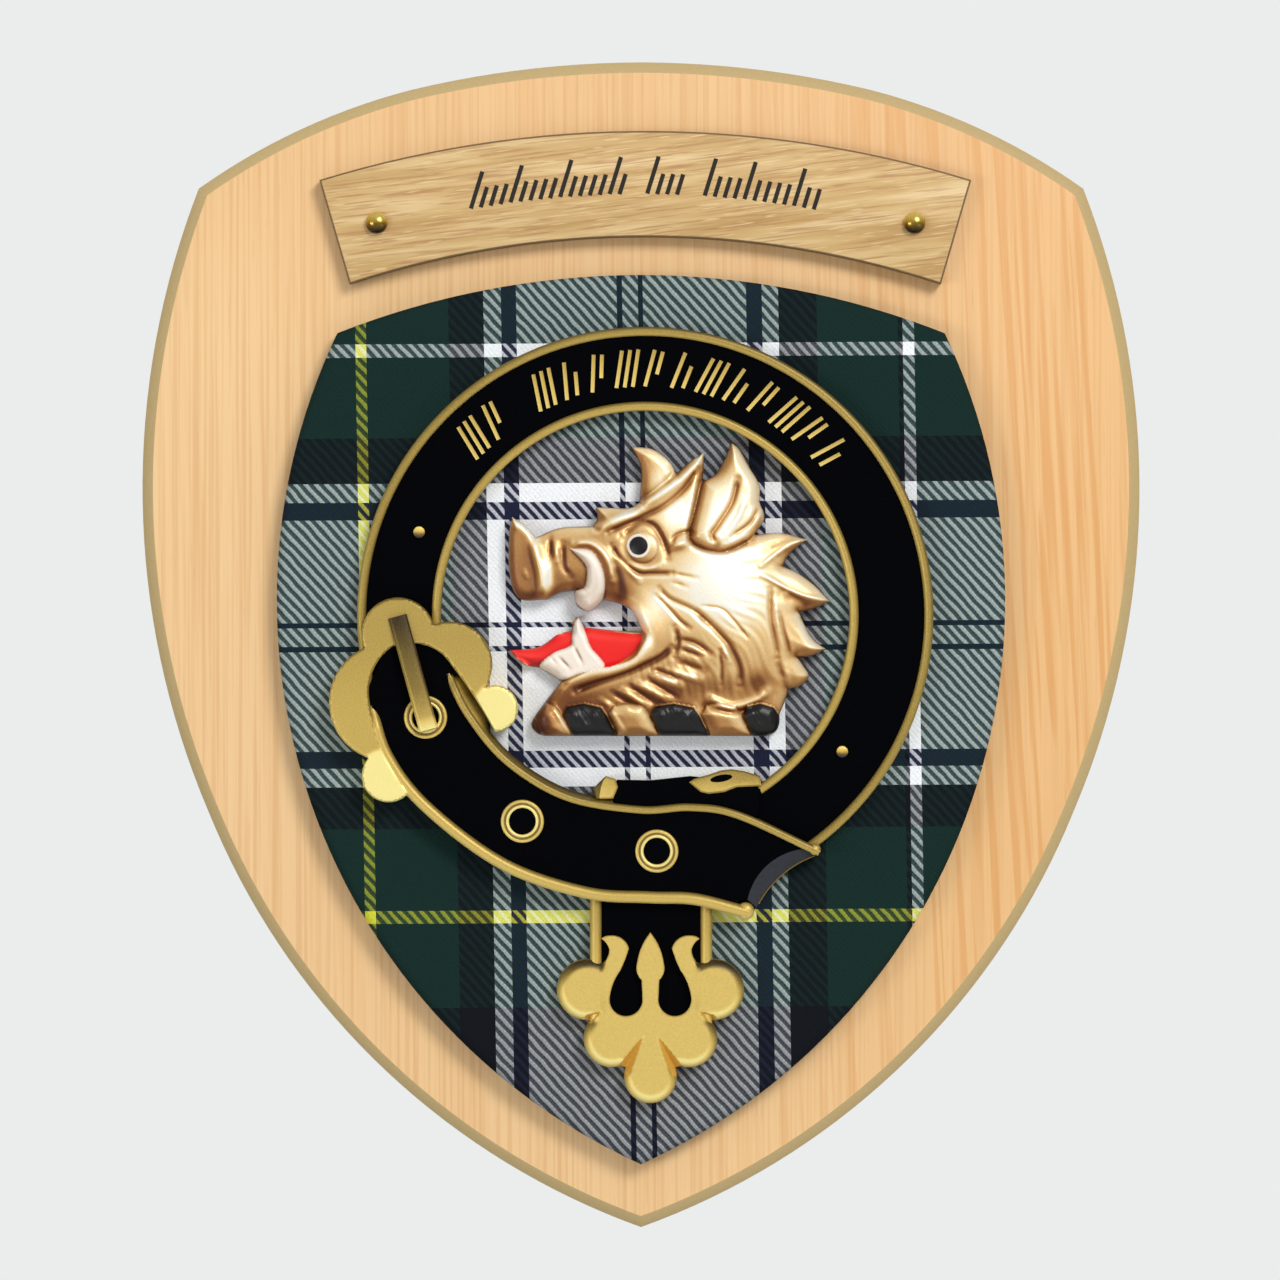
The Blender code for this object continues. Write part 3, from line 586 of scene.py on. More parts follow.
def rim_along(path: Outline, depth: float, radius: float, finish: bpy.types.Material,
              closed: bool = False, sunk: float = 0.0) -> bpy.types.Mesh:
    """A round rim that follows a path at one depth.

    Args:
        path: The places it passes through.
        depth: The depth of its middle.
        radius: Its radius.
        finish: Its material.
        closed: Whether the path joins up.
        sunk: How much deeper its first point lies; it rises to its depth within 4 mm.

    Returns:
        The rim as a plain mesh.
    """
    seed = bpy.data.meshes.new("rim_path")
    count = len(path)
    run = np.linalg.norm(np.array(path) - path[0], axis=1)
    depths = depth - sunk * ease(run, 4.0, 0.0)
    runs = [(k, k + 1) for k in range(count - 1)] + ([(count - 1, 0)] if closed else [])
    seed.from_pydata([(x * MM, -d * MM, z * MM) for (x, z), d in zip(path, depths)], runs, [])
    growth = Growth("rim_sweep", {"Rim Radius": radius * MM, "Rim Sides": float(RIM_SIDES)})
    line = growth.add("GeometryNodeMeshToCurve", {"Mesh": growth.entry.outputs["Geometry"]})
    section = growth.add("GeometryNodeCurvePrimitiveCircle", {
        "Resolution": growth.entry.outputs["Rim Sides"], "Radius": growth.entry.outputs["Rim Radius"]})
    tube = growth.add("GeometryNodeCurveToMesh", {
        "Curve": line.outputs[0], "Profile Curve": section.outputs[0], "Fill Caps": not closed})
    return growth.grown(seed, tube, finish)


def strokes_at(places: Sequence[Place], turns: Sequence[float], lengths: Sequence[float], front: float,
               width: float, height: float, finish: bpy.types.Material) -> bpy.types.Mesh:
    """Short bars that lie flat on a face, one at each place.

    Args:
        places: The middles of the bars.
        turns: How far each bar leans to the left of upright, in radians.
        lengths: How long each bar is.
        front: The depth of their front faces.
        width: How wide they are.
        height: How thick they are.
        finish: Their material.

    Returns:
        The bars as a plain mesh.
    """
    seed = bpy.data.meshes.new("stroke_places")
    seed.from_pydata([(x * MM, -(front - height / 2) * MM, z * MM) for x, z in places], [], [])
    store(seed, "lean", turns)
    store(seed, "reach", [length * MM for length in lengths])
    growth = Growth("stroke_row", {"Stroke Width": width * MM, "Stroke Height": height * MM})
    block = growth.add("GeometryNodeMeshCube", {"Size": (1.0, 1.0, 1.0)})
    lean = growth.add("GeometryNodeInputNamedAttribute", {"Name": "lean"}, data_type="FLOAT")
    span = growth.add("GeometryNodeInputNamedAttribute", {"Name": "reach"}, data_type="FLOAT")
    backwards = growth.add("ShaderNodeMath", {0: lean.outputs["Attribute"], 1: -1.0}, operation="MULTIPLY")
    turn = growth.add("ShaderNodeCombineXYZ", {"Y": backwards.outputs[0]})
    size = growth.add("ShaderNodeCombineXYZ", {
        "X": growth.entry.outputs["Stroke Width"], "Y": growth.entry.outputs["Stroke Height"],
        "Z": span.outputs["Attribute"]})
    rows = growth.add("GeometryNodeInstanceOnPoints", {
        "Points": growth.entry.outputs["Geometry"], "Instance": block.outputs["Mesh"],
        "Rotation": turn.outputs[0], "Scale": size.outputs[0]})
    return growth.grown(seed, rows, finish)


class Painter(NodeBuilder):
    """Builds a material in few words."""

    def __init__(self, name: str) -> None:
        """Starts a material with a Principled shader.

        Args:
            name: The material's name.
        """
        self.material = bpy.data.materials.new(name)
        self.material.use_nodes = True
        super().__init__(self.material.node_tree)
        self.shader = self.tree.nodes["Principled BSDF"]

    def math(self, operation: str, first: object, second: object = 0.0,
             third: object = 0.0) -> bpy.types.NodeSocket:
        """The result of a Math node."""
        return self.add("ShaderNodeMath", {0: first, 1: second, 2: third}, operation=operation).outputs[0]

    def plus(self, first: object, second: object) -> bpy.types.NodeSocket:
        """The sum of two values."""
        return self.math("ADD", first, second)

    def times(self, first: object, second: object) -> bpy.types.NodeSocket:
        """The product of two values."""
        return self.math("MULTIPLY", first, second)

    def fused(self, first: object, second: object, third: object) -> bpy.types.NodeSocket:
        """The product of the first two values, plus the third."""
        return self.math("MULTIPLY_ADD", first, second, third)

    def step(self, value: object, low: float, high: float) -> bpy.types.NodeSocket:
        """0 below low and 1 above high, smooth between.

        Args:
            value: What is measured.
            low: Where the rise begins.
            high: Where it ends.

        Returns:
            The step's value.
        """
        node = self.add("ShaderNodeMapRange", {"Value": value, "From Min": low, "From Max": high},
                        interpolation_type="SMOOTHSTEP")
        return node.outputs["Result"]

    def place(self, size: tuple[float, float, float] = (1, 1, 1), tilt: float = 0.0,
              shift: tuple[float, float, float] = (0, 0, 0)) -> bpy.types.NodeSocket:
        """Object coordinates for a pattern.

        Args:
            size: How many millimetres the pattern takes up along x, the depth and z.
            tilt: How far its x direction is turned upwards, in degrees.
            shift: What is added, in millimetres.

        Returns:
            The coordinates, in units of the pattern's size.
        """
        where = self.add("ShaderNodeTexCoord").outputs["Object"]
        metres = tuple(s * MM for s in size)
        offset = tuple(s * MM for s in shift)
        return self.add("ShaderNodeMapping", {
            "Vector": where, "Scale": metres, "Rotation": (0.0, -math.radians(tilt), 0.0),
            "Location": offset}, vector_type="TEXTURE").outputs["Vector"]

    def noise(self, where: object, detail: float, distortion: float = 0.0) -> bpy.types.NodeSocket:
        """The value of a Noise texture."""
        return self.add("ShaderNodeTexNoise", {"Vector": where, "Scale": 1.0, "Detail": detail,
                                               "Distortion": distortion}).outputs["Fac"]

    def grit(self, size: float, detail: float) -> bpy.types.NodeSocket:
        """A noise whose grains are this many millimetres each way."""
        return self.noise(self.place((size, size, size)), detail)

    def attribute(self, name: str) -> bpy.types.NodeSocket:
        """The value of a mesh attribute."""
        return self.add("ShaderNodeAttribute", attribute_name=name).outputs["Fac"]

    def mix(self, share: object, first: object, second: object, blend: str = "MIX") -> bpy.types.NodeSocket:
        """One colour over another.

        Args:
            share: How much of the second shows.
            first: The colour below.
            second: The colour above.
            blend: How they are mixed.

        Returns:
            The mixed colour.
        """
        node = self.add("ShaderNodeMix", data_type="RGBA", blend_type=blend)
        self.feed(node.inputs[0], share)
        self.feed(node.inputs[6], first)
        self.feed(node.inputs[7], second)
        return node.outputs[2]

    def ramp(self, value: object, stops: Sequence[tuple[float, tuple[float, ...]]]) -> bpy.types.NodeSocket:
        """A colour for each value.

        Args:
            value: What is looked up.
            stops: Positions and their colours, in order.

        Returns:
            The colour found.
        """
        node = self.add("ShaderNodeValToRGB", {"Fac": value})
        bar = node.color_ramp
        while len(bar.elements) < len(stops):
            bar.elements.new(1.0)
        for element, (position, _) in zip(bar.elements, stops):
            element.position = position
        for element, (_, shade) in zip(bar.elements, stops):
            element.color = shade
        return node.outputs["Color"]

    def bump(self, height: object, distance: float, strength: float = 1.0) -> None:
        """Lets a height in millimetres tilt the surface."""
        node = self.add("ShaderNodeBump", {"Height": height, "Distance": distance * MM, "Strength": strength})
        self.feed(self.shader.inputs["Normal"], node.outputs["Normal"])

    def set(self, **values: object) -> None:
        """Sets the shader's inputs, with underscores for the spaces in their names."""
        for label, value in values.items():
            self.feed(self.shader.inputs[label.replace("_", " ")], value)


def colour(red: int, green: int, blue: int) -> tuple[float, float, float, float]:
    """A colour given as screen values from 0 to 255, as the linear values a shader takes.

    Args:
        red: Its red.
        green: Its green.
        blue: Its blue.

    Returns:
        The four linear values.
    """
    parts = [c / 255 for c in (red, green, blue)]
    linear = [c / 12.92 if c <= 0.04045 else ((c + 0.055) / 1.055) ** 2.4 for c in parts]
    return (*linear, 1.0)


class Hue(Enum):
    """The plaque's named colours."""

    PINE = colour(236, 194, 141)
    PINE_DARK = colour(212, 155, 96)
    PINE_PALE = colour(242, 205, 154)
    PINE_WARM = colour(230, 178, 116)
    PINE_STREAK = colour(219, 154, 87)
    PINE_PORE = colour(196, 142, 92)
    OAK = colour(209, 175, 119)
    OAK_DARK = colour(178, 132, 88)
    OAK_PALE = colour(228, 200, 150)
    OAK_DEEP = colour(190, 152, 96)


class Yarn(Enum):
    """The tartan's yarns, as screen values from 0 to 1."""

    GREEN = (0.118, 0.192, 0.180, 1.0)
    BLACK = (0.105, 0.115, 0.135, 1.0)
    NAVY = (0.150, 0.160, 0.240, 1.0)
    WHITE = (0.925, 0.940, 0.955, 1.0)
    YELLOW = (0.800, 0.800, 0.250, 1.0)


@dataclass(frozen=True)
class PineFinish:
    """Lacquered light pine with upright grain, and drab gold paint on the chamfer and the edge."""

    front: float = BOARD_FRONT
    straight_grain: tuple[float, float, float] = (0.62, 3.0, 70.0)
    wavy_grain: tuple[float, float, float] = (2.2, 7.0, 95.0)
    pores: tuple[float, float, float] = (0.32, 1.2, 9.0)

    def material(self) -> bpy.types.Material:
        """Builds the material.

        Returns:
            The lacquered pine.
        """
        paint = Painter("lacquered_pine")
        where = paint.add("ShaderNodeSeparateXYZ", {"Vector": paint.place()})
        x, depth = where.outputs["X"], where.outputs["Y"]
        drift = paint.noise(paint.place((28.0, 50.0, 80.0)), 2.0)
        fine = paint.noise(paint.place(self.straight_grain), 3.0, 0.25)
        broad = paint.noise(paint.place(self.wavy_grain, 3.0, (4.0, 0.0, 0.0)), 2.0, 1.3)
        pores = paint.noise(paint.place(self.pores), 2.0)
        rightness = paint.step(x, 5.0, 70.0)
        lines = paint.times(paint.step(fine, 0.44, 0.66), paint.fused(rightness, -0.15, 0.5))
        streaks = paint.times(paint.step(broad, 0.47, 0.64), paint.fused(rightness, 0.7, 0.15))
        pale = paint.mix(drift, Hue.PINE.value, Hue.PINE_PALE.value)
        warm = paint.mix(paint.times(rightness, 0.55), pale, Hue.PINE_WARM.value)
        topness = paint.step(where.outputs["Z"], 45.0, 95.0)
        base = paint.mix(paint.times(topness, 0.2), warm, Hue.PINE_DARK.value)
        lined = paint.mix(paint.times(lines, 0.72), base, Hue.PINE_DARK.value)
        streaked = paint.mix(paint.times(streaks, 0.72), lined, Hue.PINE_STREAK.value)
        pored = paint.mix(paint.times(paint.step(pores, 0.64, 0.78), 0.3), streaked, Hue.PINE_PORE.value)
        behind_front = paint.step(depth, -self.front + 0.004, -self.front + 0.03)
        edge = paint.times(behind_front, paint.step(depth, -0.01, -0.05))
        beside = paint.step(paint.math("ABSOLUTE", x), 9.0, 9.5)
        above = paint.step(paint.math("ABSOLUTE", where.outputs["Z"]), 86.0, 86.5)
        painted = paint.times(edge, paint.math("MAXIMUM", beside, above))
        speck = paint.grit(0.5, 3.0)
        drab = paint.mix(speck, colour(187, 162, 112), colour(201, 176, 126))
        paint.set(Base_Color=paint.mix(painted, pored, drab), Roughness=0.45, Specular_IOR_Level=0.3)
        paint.bump(paint.fused(fine, 1.0, paint.times(pores, 0.5)), 0.02)
        return paint.material


@dataclass(frozen=True)
class OakFinish:
    """Light oak whose grain runs along the strip and rises a little to the right."""

    tilt: float = 7.0
    bands: tuple[float, float, float] = (34.0, 12.0, 2.6)
    lines: tuple[float, float, float] = (11.0, 3.0, 0.42)
    flecks: tuple[float, float, float] = (5.0, 3.0, 0.30)

    def material(self) -> bpy.types.Material:
        """Builds the material.

        Returns:
            The light oak.
        """
        paint = Painter("light_oak")
        broad = paint.noise(paint.place(self.bands, self.tilt), 3.0, 0.6)
        fine = paint.noise(paint.place(self.lines, self.tilt), 4.0, 0.3)
        flecks = paint.noise(paint.place(self.flecks, self.tilt, (7.0, 0.0, 3.0)), 1.0)
        base = paint.ramp(broad, [
            (0.3, Hue.OAK_PALE.value), (0.5, Hue.OAK.value), (0.72, Hue.OAK_DEEP.value)])
        lined = paint.mix(paint.times(paint.step(fine, 0.47, 0.66), 0.75), base, Hue.OAK_DARK.value)
        flecked = paint.mix(paint.times(paint.step(flecks, 0.6, 0.7), 0.75), lined, Hue.OAK_PALE.value)
        paint.set(Base_Color=flecked, Roughness=0.5, Specular_IOR_Level=0.3)
        paint.bump(fine, 0.03)
        return paint.material


@dataclass(frozen=True)
class PlainFinish:
    """One even finish with a faint mottle, for ink, hidden or darkened wood, the badge's painted sheen and
    painted shade, and the floor.
    """

    name: str
    dark: tuple[float, float, float, float]
    light: tuple[float, float, float, float]
    roughness: float
    specular: float = 0.4

    def material(self) -> bpy.types.Material:
        """Builds the material.

        Returns:
            The even finish.
        """
        paint = Painter(self.name)
        mottle = paint.grit(0.6, 3.0)
        paint.set(Base_Color=paint.mix(mottle, self.dark, self.light), Roughness=self.roughness,
                  Specular_IOR_Level=self.specular)
        return paint.material


@dataclass(frozen=True)
class TartanFinish:
    """Twill-woven tartan: a stripe order for the upright yarns, one for the level yarns, and the weave.

    The cloth is stretched a little askew, so both sets of stripes drift.
    """

    rib: tuple[float, float] = (1.735, 1.905)
    threads: float = 4.0
    upright_drift: float = 0.017
    level_drift: float = 0.005
    drift_from: Place = (-43.0, 57.0)
    # Where each stripe starts, in millimetres, and its yarn
    upright: tuple[tuple[float, Yarn], ...] = (
        (-70.0, Yarn.GREEN), (-47.2, Yarn.YELLOW), (-45.4, Yarn.GREEN), (-31.8, Yarn.BLACK),
        (-26.0, Yarn.WHITE), (-23.1, Yarn.NAVY), (-20.6, Yarn.WHITE), (-4.0, Yarn.NAVY),
        (-3.1, Yarn.WHITE), (-0.5, Yarn.NAVY), (0.3, Yarn.WHITE), (17.3, Yarn.NAVY),
        (19.9, Yarn.WHITE), (22.6, Yarn.BLACK), (28.9, Yarn.GREEN), (42.2, Yarn.BLACK),
        (43.0, Yarn.WHITE), (44.9, Yarn.GREEN),
    )
    level: tuple[tuple[float, Yarn], ...] = (
        (-90.0, Yarn.BLACK), (-59.9, Yarn.GREEN), (-46.0, Yarn.YELLOW), (-43.9, Yarn.GREEN),
        (-30.4, Yarn.BLACK), (-23.5, Yarn.WHITE), (-20.4, Yarn.NAVY), (-17.6, Yarn.WHITE),
        (-1.2, Yarn.NAVY), (-0.3, Yarn.WHITE), (2.75, Yarn.NAVY), (3.6, Yarn.WHITE),
        (20.5, Yarn.NAVY), (23.4, Yarn.WHITE), (26.5, Yarn.BLACK), (34.0, Yarn.GREEN),
        (47.3, Yarn.WHITE), (49.5, Yarn.GREEN),
    )

    def either(self, paint: Painter, upright: bpy.types.NodeSocket, level: bpy.types.NodeSocket,
               channels: tuple[str, str], over: tuple[float, float]) -> bpy.types.NodeSocket:
        """Whether either yarn has one colour channel clearly over another.

        Args:
            paint: The material's painter.
            upright: The upright yarn's colour.
            level: The level yarn's colour.
            channels: The higher and the lower channel.
            over: The differences that count as none and as clear.

        Returns:
            0 for neither yarn and 1 for either, as a socket.
        """
        shares = []
        for yarn in (upright, level):
            parts = paint.add("ShaderNodeSeparateColor", {"Color": yarn}).outputs
            shares.append(paint.step(paint.math("SUBTRACT", parts[channels[0]], parts[channels[1]]), *over))
        return paint.math("MAXIMUM", *shares)

    def stripes(self, paint: Painter, where: object,
                order: tuple[tuple[float, Yarn], ...]) -> bpy.types.NodeSocket:
        """The colour of the yarn at a distance across its stripes.

        Args:
            paint: The material in the making.
            where: The distance in millimetres.
            order: Where each stripe starts, and its yarn.

        Returns:
            The yarn's colour.
        """
        shown = order[0][1].value
        for start, yarn in order[1:]:
            shown = paint.mix(paint.math("GREATER_THAN", where, start), shown, yarn.value)
        return shown

    def material(self) -> bpy.types.Material:
        """Builds the material.

        Returns:
            The tartan.
        """
        paint = Painter("tartan_twill")
        parts = paint.add("ShaderNodeSeparateXYZ", {"Vector": paint.place()})
        x, z = parts.outputs["X"], parts.outputs["Z"]
        left, top = self.drift_from
        u = paint.fused(paint.math("SUBTRACT", z, top), self.upright_drift, x)
        v = paint.fused(paint.math("SUBTRACT", x, left), -self.level_drift, z)
        wander = paint.fused(paint.grit(3.0, 3.0), 0.7, -0.35)
        across = paint.math("DIVIDE", paint.plus(x, wander), self.rib[0])
        up = paint.math("DIVIDE", z, self.rib[1])
        slope = paint.math("FRACT", paint.plus(paint.plus(across, up), 100.0))
        soft = paint.math("ABSOLUTE", paint.fused(slope, 2.0, -1.0))
        mask = paint.step(soft, 0.30, 0.70)
        turn = paint.plus(*(paint.math("FLOOR", paint.times(way, self.threads)) for way in (across, up)))
        phase = paint.math("FLOORED_MODULO", turn, self.threads)
        stepped = paint.math("LESS_THAN", phase, self.threads / 2 - 0.5)
        upright = self.stripes(paint, u, self.upright)
        level = self.stripes(paint, v, self.level)
        blue = self.either(paint, upright, level, ("Blue", "Green"), (0.03, 0.07))
        green = self.either(paint, upright, level, ("Green", "Red"), (0.03, 0.06))
        reach_up = paint.fused(blue, 0.34, paint.fused(green, 0.09, 0.43))
        raised = paint.math("SUBTRACT", mask, 0.5)
        level_share = paint.fused(raised, reach_up, paint.fused(stepped, 0.10, 0.46))
        cloth = paint.mix(level_share, upright, level)
        unlike = paint.mix(1.0, upright, level, "DIFFERENCE")
        dulled = paint.mix(paint.fused(green, 0.03, 0.12), cloth, unlike, "SUBTRACT")
        hair = paint.grit(0.28, 4.0)
        rib = paint.math("ABSOLUTE", paint.fused(mask, 2.0, -1.0))
        shade = paint.fused(hair, 0.26, paint.fused(rib, 0.05, 0.84))
        tinted = paint.mix(1.0, dulled, paint.add("ShaderNodeCombineColor", {
            "Red": shade, "Green": shade, "Blue": shade}).outputs["Color"], "MULTIPLY")
        linear = paint.add("ShaderNodeGamma", {"Color": tinted, "Gamma": 2.2}).outputs["Color"]
        paint.set(Base_Color=linear, Roughness=0.95, Specular_IOR_Level=0.05)
        paint.bump(paint.plus(rib, paint.times(hair, 0.6)), 0.05, 0.6)
        return paint.material


@dataclass(frozen=True)
class EnamelFinish:
    """Satin black paint on the casting."""

    def material(self) -> bpy.types.Material:
        """Builds the material.

        Returns:
            The black enamel.
        """
        paint = Painter("satin_black")
        grit = paint.grit(0.33, 3.0)
        tint = paint.mix(grit, colour(0, 0, 2), colour(3, 4, 8))
        paint.set(Base_Color=tint, Roughness=0.6, Specular_IOR_Level=0.025)
        paint.bump(grit, 0.01)
        return paint.material


@dataclass(frozen=True)
class GildingFinish:
    """Gold paint whose shade follows the attribute "tone", from brown in the hollows to pale on the lobes,
    with painted light and shade on its slopes, sides and bevels.
    """

    def material(self) -> bpy.types.Material:
        """Builds the material.

        Returns:
            The gold paint.
        """
        paint = Painter("drab_gilding")
        grain = paint.grit(0.22, 4.0)
        tone = paint.plus(paint.attribute("tone"), paint.fused(grain, 0.22, -0.11))
        tint = paint.ramp(tone, [
            (0.0, colour(54, 40, 14)), (0.15, colour(95, 77, 28)), (0.35, colour(148, 124, 56)),
            (0.55, colour(206, 176, 90)), (0.75, colour(236, 206, 116)), (1.0, colour(255, 240, 156))])
        paint.set(Base_Color=tint, Roughness=0.42, Metallic=0.35, Specular_IOR_Level=0.5)
        paint.bump(grain, 0.03)
        return paint.material


@dataclass(frozen=True)
class BrassFinish:
    """Brass with a painted reflection: dark along its lower side, where the attribute "tone" is low, and
    bright at its top.
    """

    name: str
    roughness: float
    metallic: float

    def material(self) -> bpy.types.Material:
        """Builds the material.

        Returns:
            The brass.
        """
        paint = Painter(self.name)
        mottle = paint.grit(0.6, 3.0)
        tone = paint.plus(paint.attribute("tone"), paint.fused(mottle, 0.2, -0.1))
        tint = paint.ramp(tone, [(0.12, colour(52, 46, 40)), (0.34, colour(112, 88, 38)),
                                 (0.55, colour(204, 166, 66)), (0.85, colour(240, 214, 118))])
        paint.set(Base_Color=tint, Roughness=self.roughness, Metallic=self.metallic, Specular_IOR_Level=0.5)
        return paint.material


@dataclass(frozen=True)
class HeadFinish:
    """The head's paints: gold whose shade follows the attribute "tone", which holds painted light and shade
    as well as brown paint, and red, cream, black and white where attributes say so.
    """

    blur: float = 0.09

    def area(self, paint: Painter, name: str) -> bpy.types.NodeSocket:
        """1 inside the painted area of this name, and 0 outside it."""
        ragged = paint.fused(paint.grit(0.42, 2.0), 0.16, -0.08)
        return paint.step(paint.plus(paint.attribute(name), ragged), -self.blur, self.blur)

    def material(self) -> bpy.types.Material:
        """Builds the material.

        Returns:
            The head's paints.
        """
        paint = Painter("painted_boar")
        grain = paint.grit(0.28, 4.0)
        tone = paint.plus(paint.attribute("tone"), paint.fused(grain, 0.14, -0.07))
        gold = paint.ramp(tone, [
            (0.0, colour(84, 40, 16)), (0.2, colour(132, 78, 34)), (0.45, colour(192, 142, 82)),
            (0.7, colour(238, 203, 144)), (0.88, colour(252, 234, 198)), (1.0, colour(255, 250, 234))])
        red = paint.ramp(tone, [
            (0.1, colour(120, 14, 14)), (0.5, colour(234, 22, 20)), (1.0, colour(255, 64, 52))])
        cream = paint.ramp(tone, [(0.1, colour(176, 146, 120)), (0.4, colour(236, 221, 204)),
                                  (1.0, colour(255, 250, 240))])
        black = paint.ramp(tone, [(0.2, colour(2, 2, 3)), (0.75, colour(3, 3, 4)), (1.0, colour(50, 48, 48))])
        areas = [self.area(paint, name) for name in ("red", "cream", "black", "white")]
        tint = gold
        for share, coat in zip(areas, (red, cream, black, colour(236, 230, 218))):
            tint = paint.mix(share, tint, coat)
        painted = areas[0]
        for share in areas[1:]:
            painted = paint.math("MAXIMUM", painted, share)
        paint.set(Base_Color=tint, Metallic=paint.fused(painted, -0.3, 0.3), Roughness=0.36,
                  Specular_IOR_Level=0.45)
        paint.bump(grain, 0.035)
        return paint.material


@dataclass
class Board:
    """The shield-shaped pine board with its chamfered front and the keyhole slot in its back."""

    top: Place = (0, 96.4)
    top_join: Place = (-37.8, 91.9)
    shoulder: Place = (-73.2, 75.5)
    side_join: Place = (-71.6, -27.6)
    tip: Place = (0, -96.4)
    swells: tuple[float, float, float, float] = (1.1, 1.8, 10.1, 10.6)
    chamfer: float = 1.8
    back_break: float = 0.25
    crease: float = 25.0
    keyhole_foot: float = 66.0
    keyhole_top: float = 78.0
    keyhole_radii: tuple[float, float] = (2.4, 4.6)
    keyhole_lip: float = 1.6
    keyhole_depth: float = 5.6

    def outline(self) -> Outline:
        """The board's edge, counterclockwise from its top."""
        ends = (self.top_join, self.shoulder, self.side_join, self.tip)
        return mirrored(arcs(self.top, zip(ends, self.swells)))

    def keyhole(self) -> bpy.types.Object:
        """The shape that is cut out of the back.

        Returns:
            The cutter, which is removed once it has been used.
        """
        narrow, wide = self.keyhole_radii
        cutter = Shell()
        for radius, back in ((narrow, -1.0), (wide, self.keyhole_lip)):
            low, high = self.keyhole_foot, self.keyhole_top
            slot = arcs((radius, low), [((radius, high), 0), ((-radius, high), radius),
                                        ((-radius, low), 0), ((radius, low), radius)])[:-1]
            cutter.merge(profiled(slot, [(0, back), (0, self.keyhole_depth)]))
        cutter.merge(turned((0, self.keyhole_foot), [(0, -1.0), (wide, -1.0), (wide, self.keyhole_depth),
                                                     (0, self.keyhole_depth)], 48))
        return new_piece("keyhole_cutter", cutter.mesh("keyhole_cutter"), [])

    def build(self) -> None:
        """Makes the board and dresses it."""
        edge = self.chamfer
        rows = [(self.back_break, 0.0), (0.0, self.back_break), (0.0, BOARD_FRONT - edge),
                (0.03, BOARD_FRONT - edge + 0.05), (edge - 0.04, BOARD_FRONT - 0.04),
                (edge + 0.06, BOARD_FRONT)]
        shell = profiled(self.outline(), rows)
        piece = new_piece("pine_board", shell.mesh("pine_board", self.crease), [PineFinish().material()])
        cutter = self.keyhole()
        cut = piece.modifiers.new("keyhole", "BOOLEAN")
        cut.object = cutter
        cut.use_self = True
        graph = bpy.context.evaluated_depsgraph_get()
        made = bpy.data.meshes.new_from_object(piece.evaluated_get(graph))
        made.shade_smooth()
        made.set_sharp_from_angle(angle=math.radians(self.crease))
        piece.modifiers.remove(cut)
        piece.data = made
        bpy.data.objects.remove(cutter)
        stand_for(piece, ["back_board"])


@dataclass
class Panel:
    """The cloth-covered panel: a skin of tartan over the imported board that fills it."""

    top: Place = (0, 61.0)
    shoulder: Place = (-50.1, 51.4)
    tip: Place = (0, -85.7)
    swells: tuple[float, float] = (2.4, 30.7)
    rounding: float = 1.7
    thickness: float = 0.5
    cut_width: float = 0.135
    cut_length: float = 0.160

    def outline(self) -> Outline:
        """The cloth's edge, counterclockwise from its top."""
        return mirrored(arcs(self.top, zip((self.shoulder, self.tip), self.swells)))

    def build(self) -> None:
        """Makes the cloth, dresses it and the board under it."""
        outline = self.outline()
        turns = np.linspace(0, math.pi / 2, 9)
        outer = [(self.rounding * (1 - math.cos(a)), CLOTH_FRONT - self.rounding * (1 - math.sin(a)))
                 for a in turns]
        inner_radius = self.rounding - self.thickness
        inner = [(self.thickness + inner_radius * (1 - math.cos(a)),
                  CLOTH_FRONT - self.thickness - inner_radius * (1 - math.sin(a))) for a in turns]
        rows = [(self.thickness, CLOTH_BACK), (0.0, CLOTH_BACK), *outer, *inner]
        split = len(rows) - len(inner)
        shell = Shell()
        rings = [shell.add_points(shrunk(outline, inset), [depth] * len(outline)) for inset, depth in rows]
        for skin in (rings[:split], rings[split:]):
            for first, second in zip(skin, skin[1:]):
                shell.bridge(first, second)
            shell.add_face(skin[-1])
        shell.bridge(rings[0], rings[split])
        piece = new_piece("tartan_cover", shell.mesh("tartan_cover", 60), [TartanFinish().material()])
        stand_for(piece, ["tartan_cloth"])
        wood = PlainFinish("plain_board", colour(150, 112, 74), colour(172, 132, 90), 0.8).material()
        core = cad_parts["inner_panel"]
        core.data.materials.clear()
        core.data.materials.append(wood)


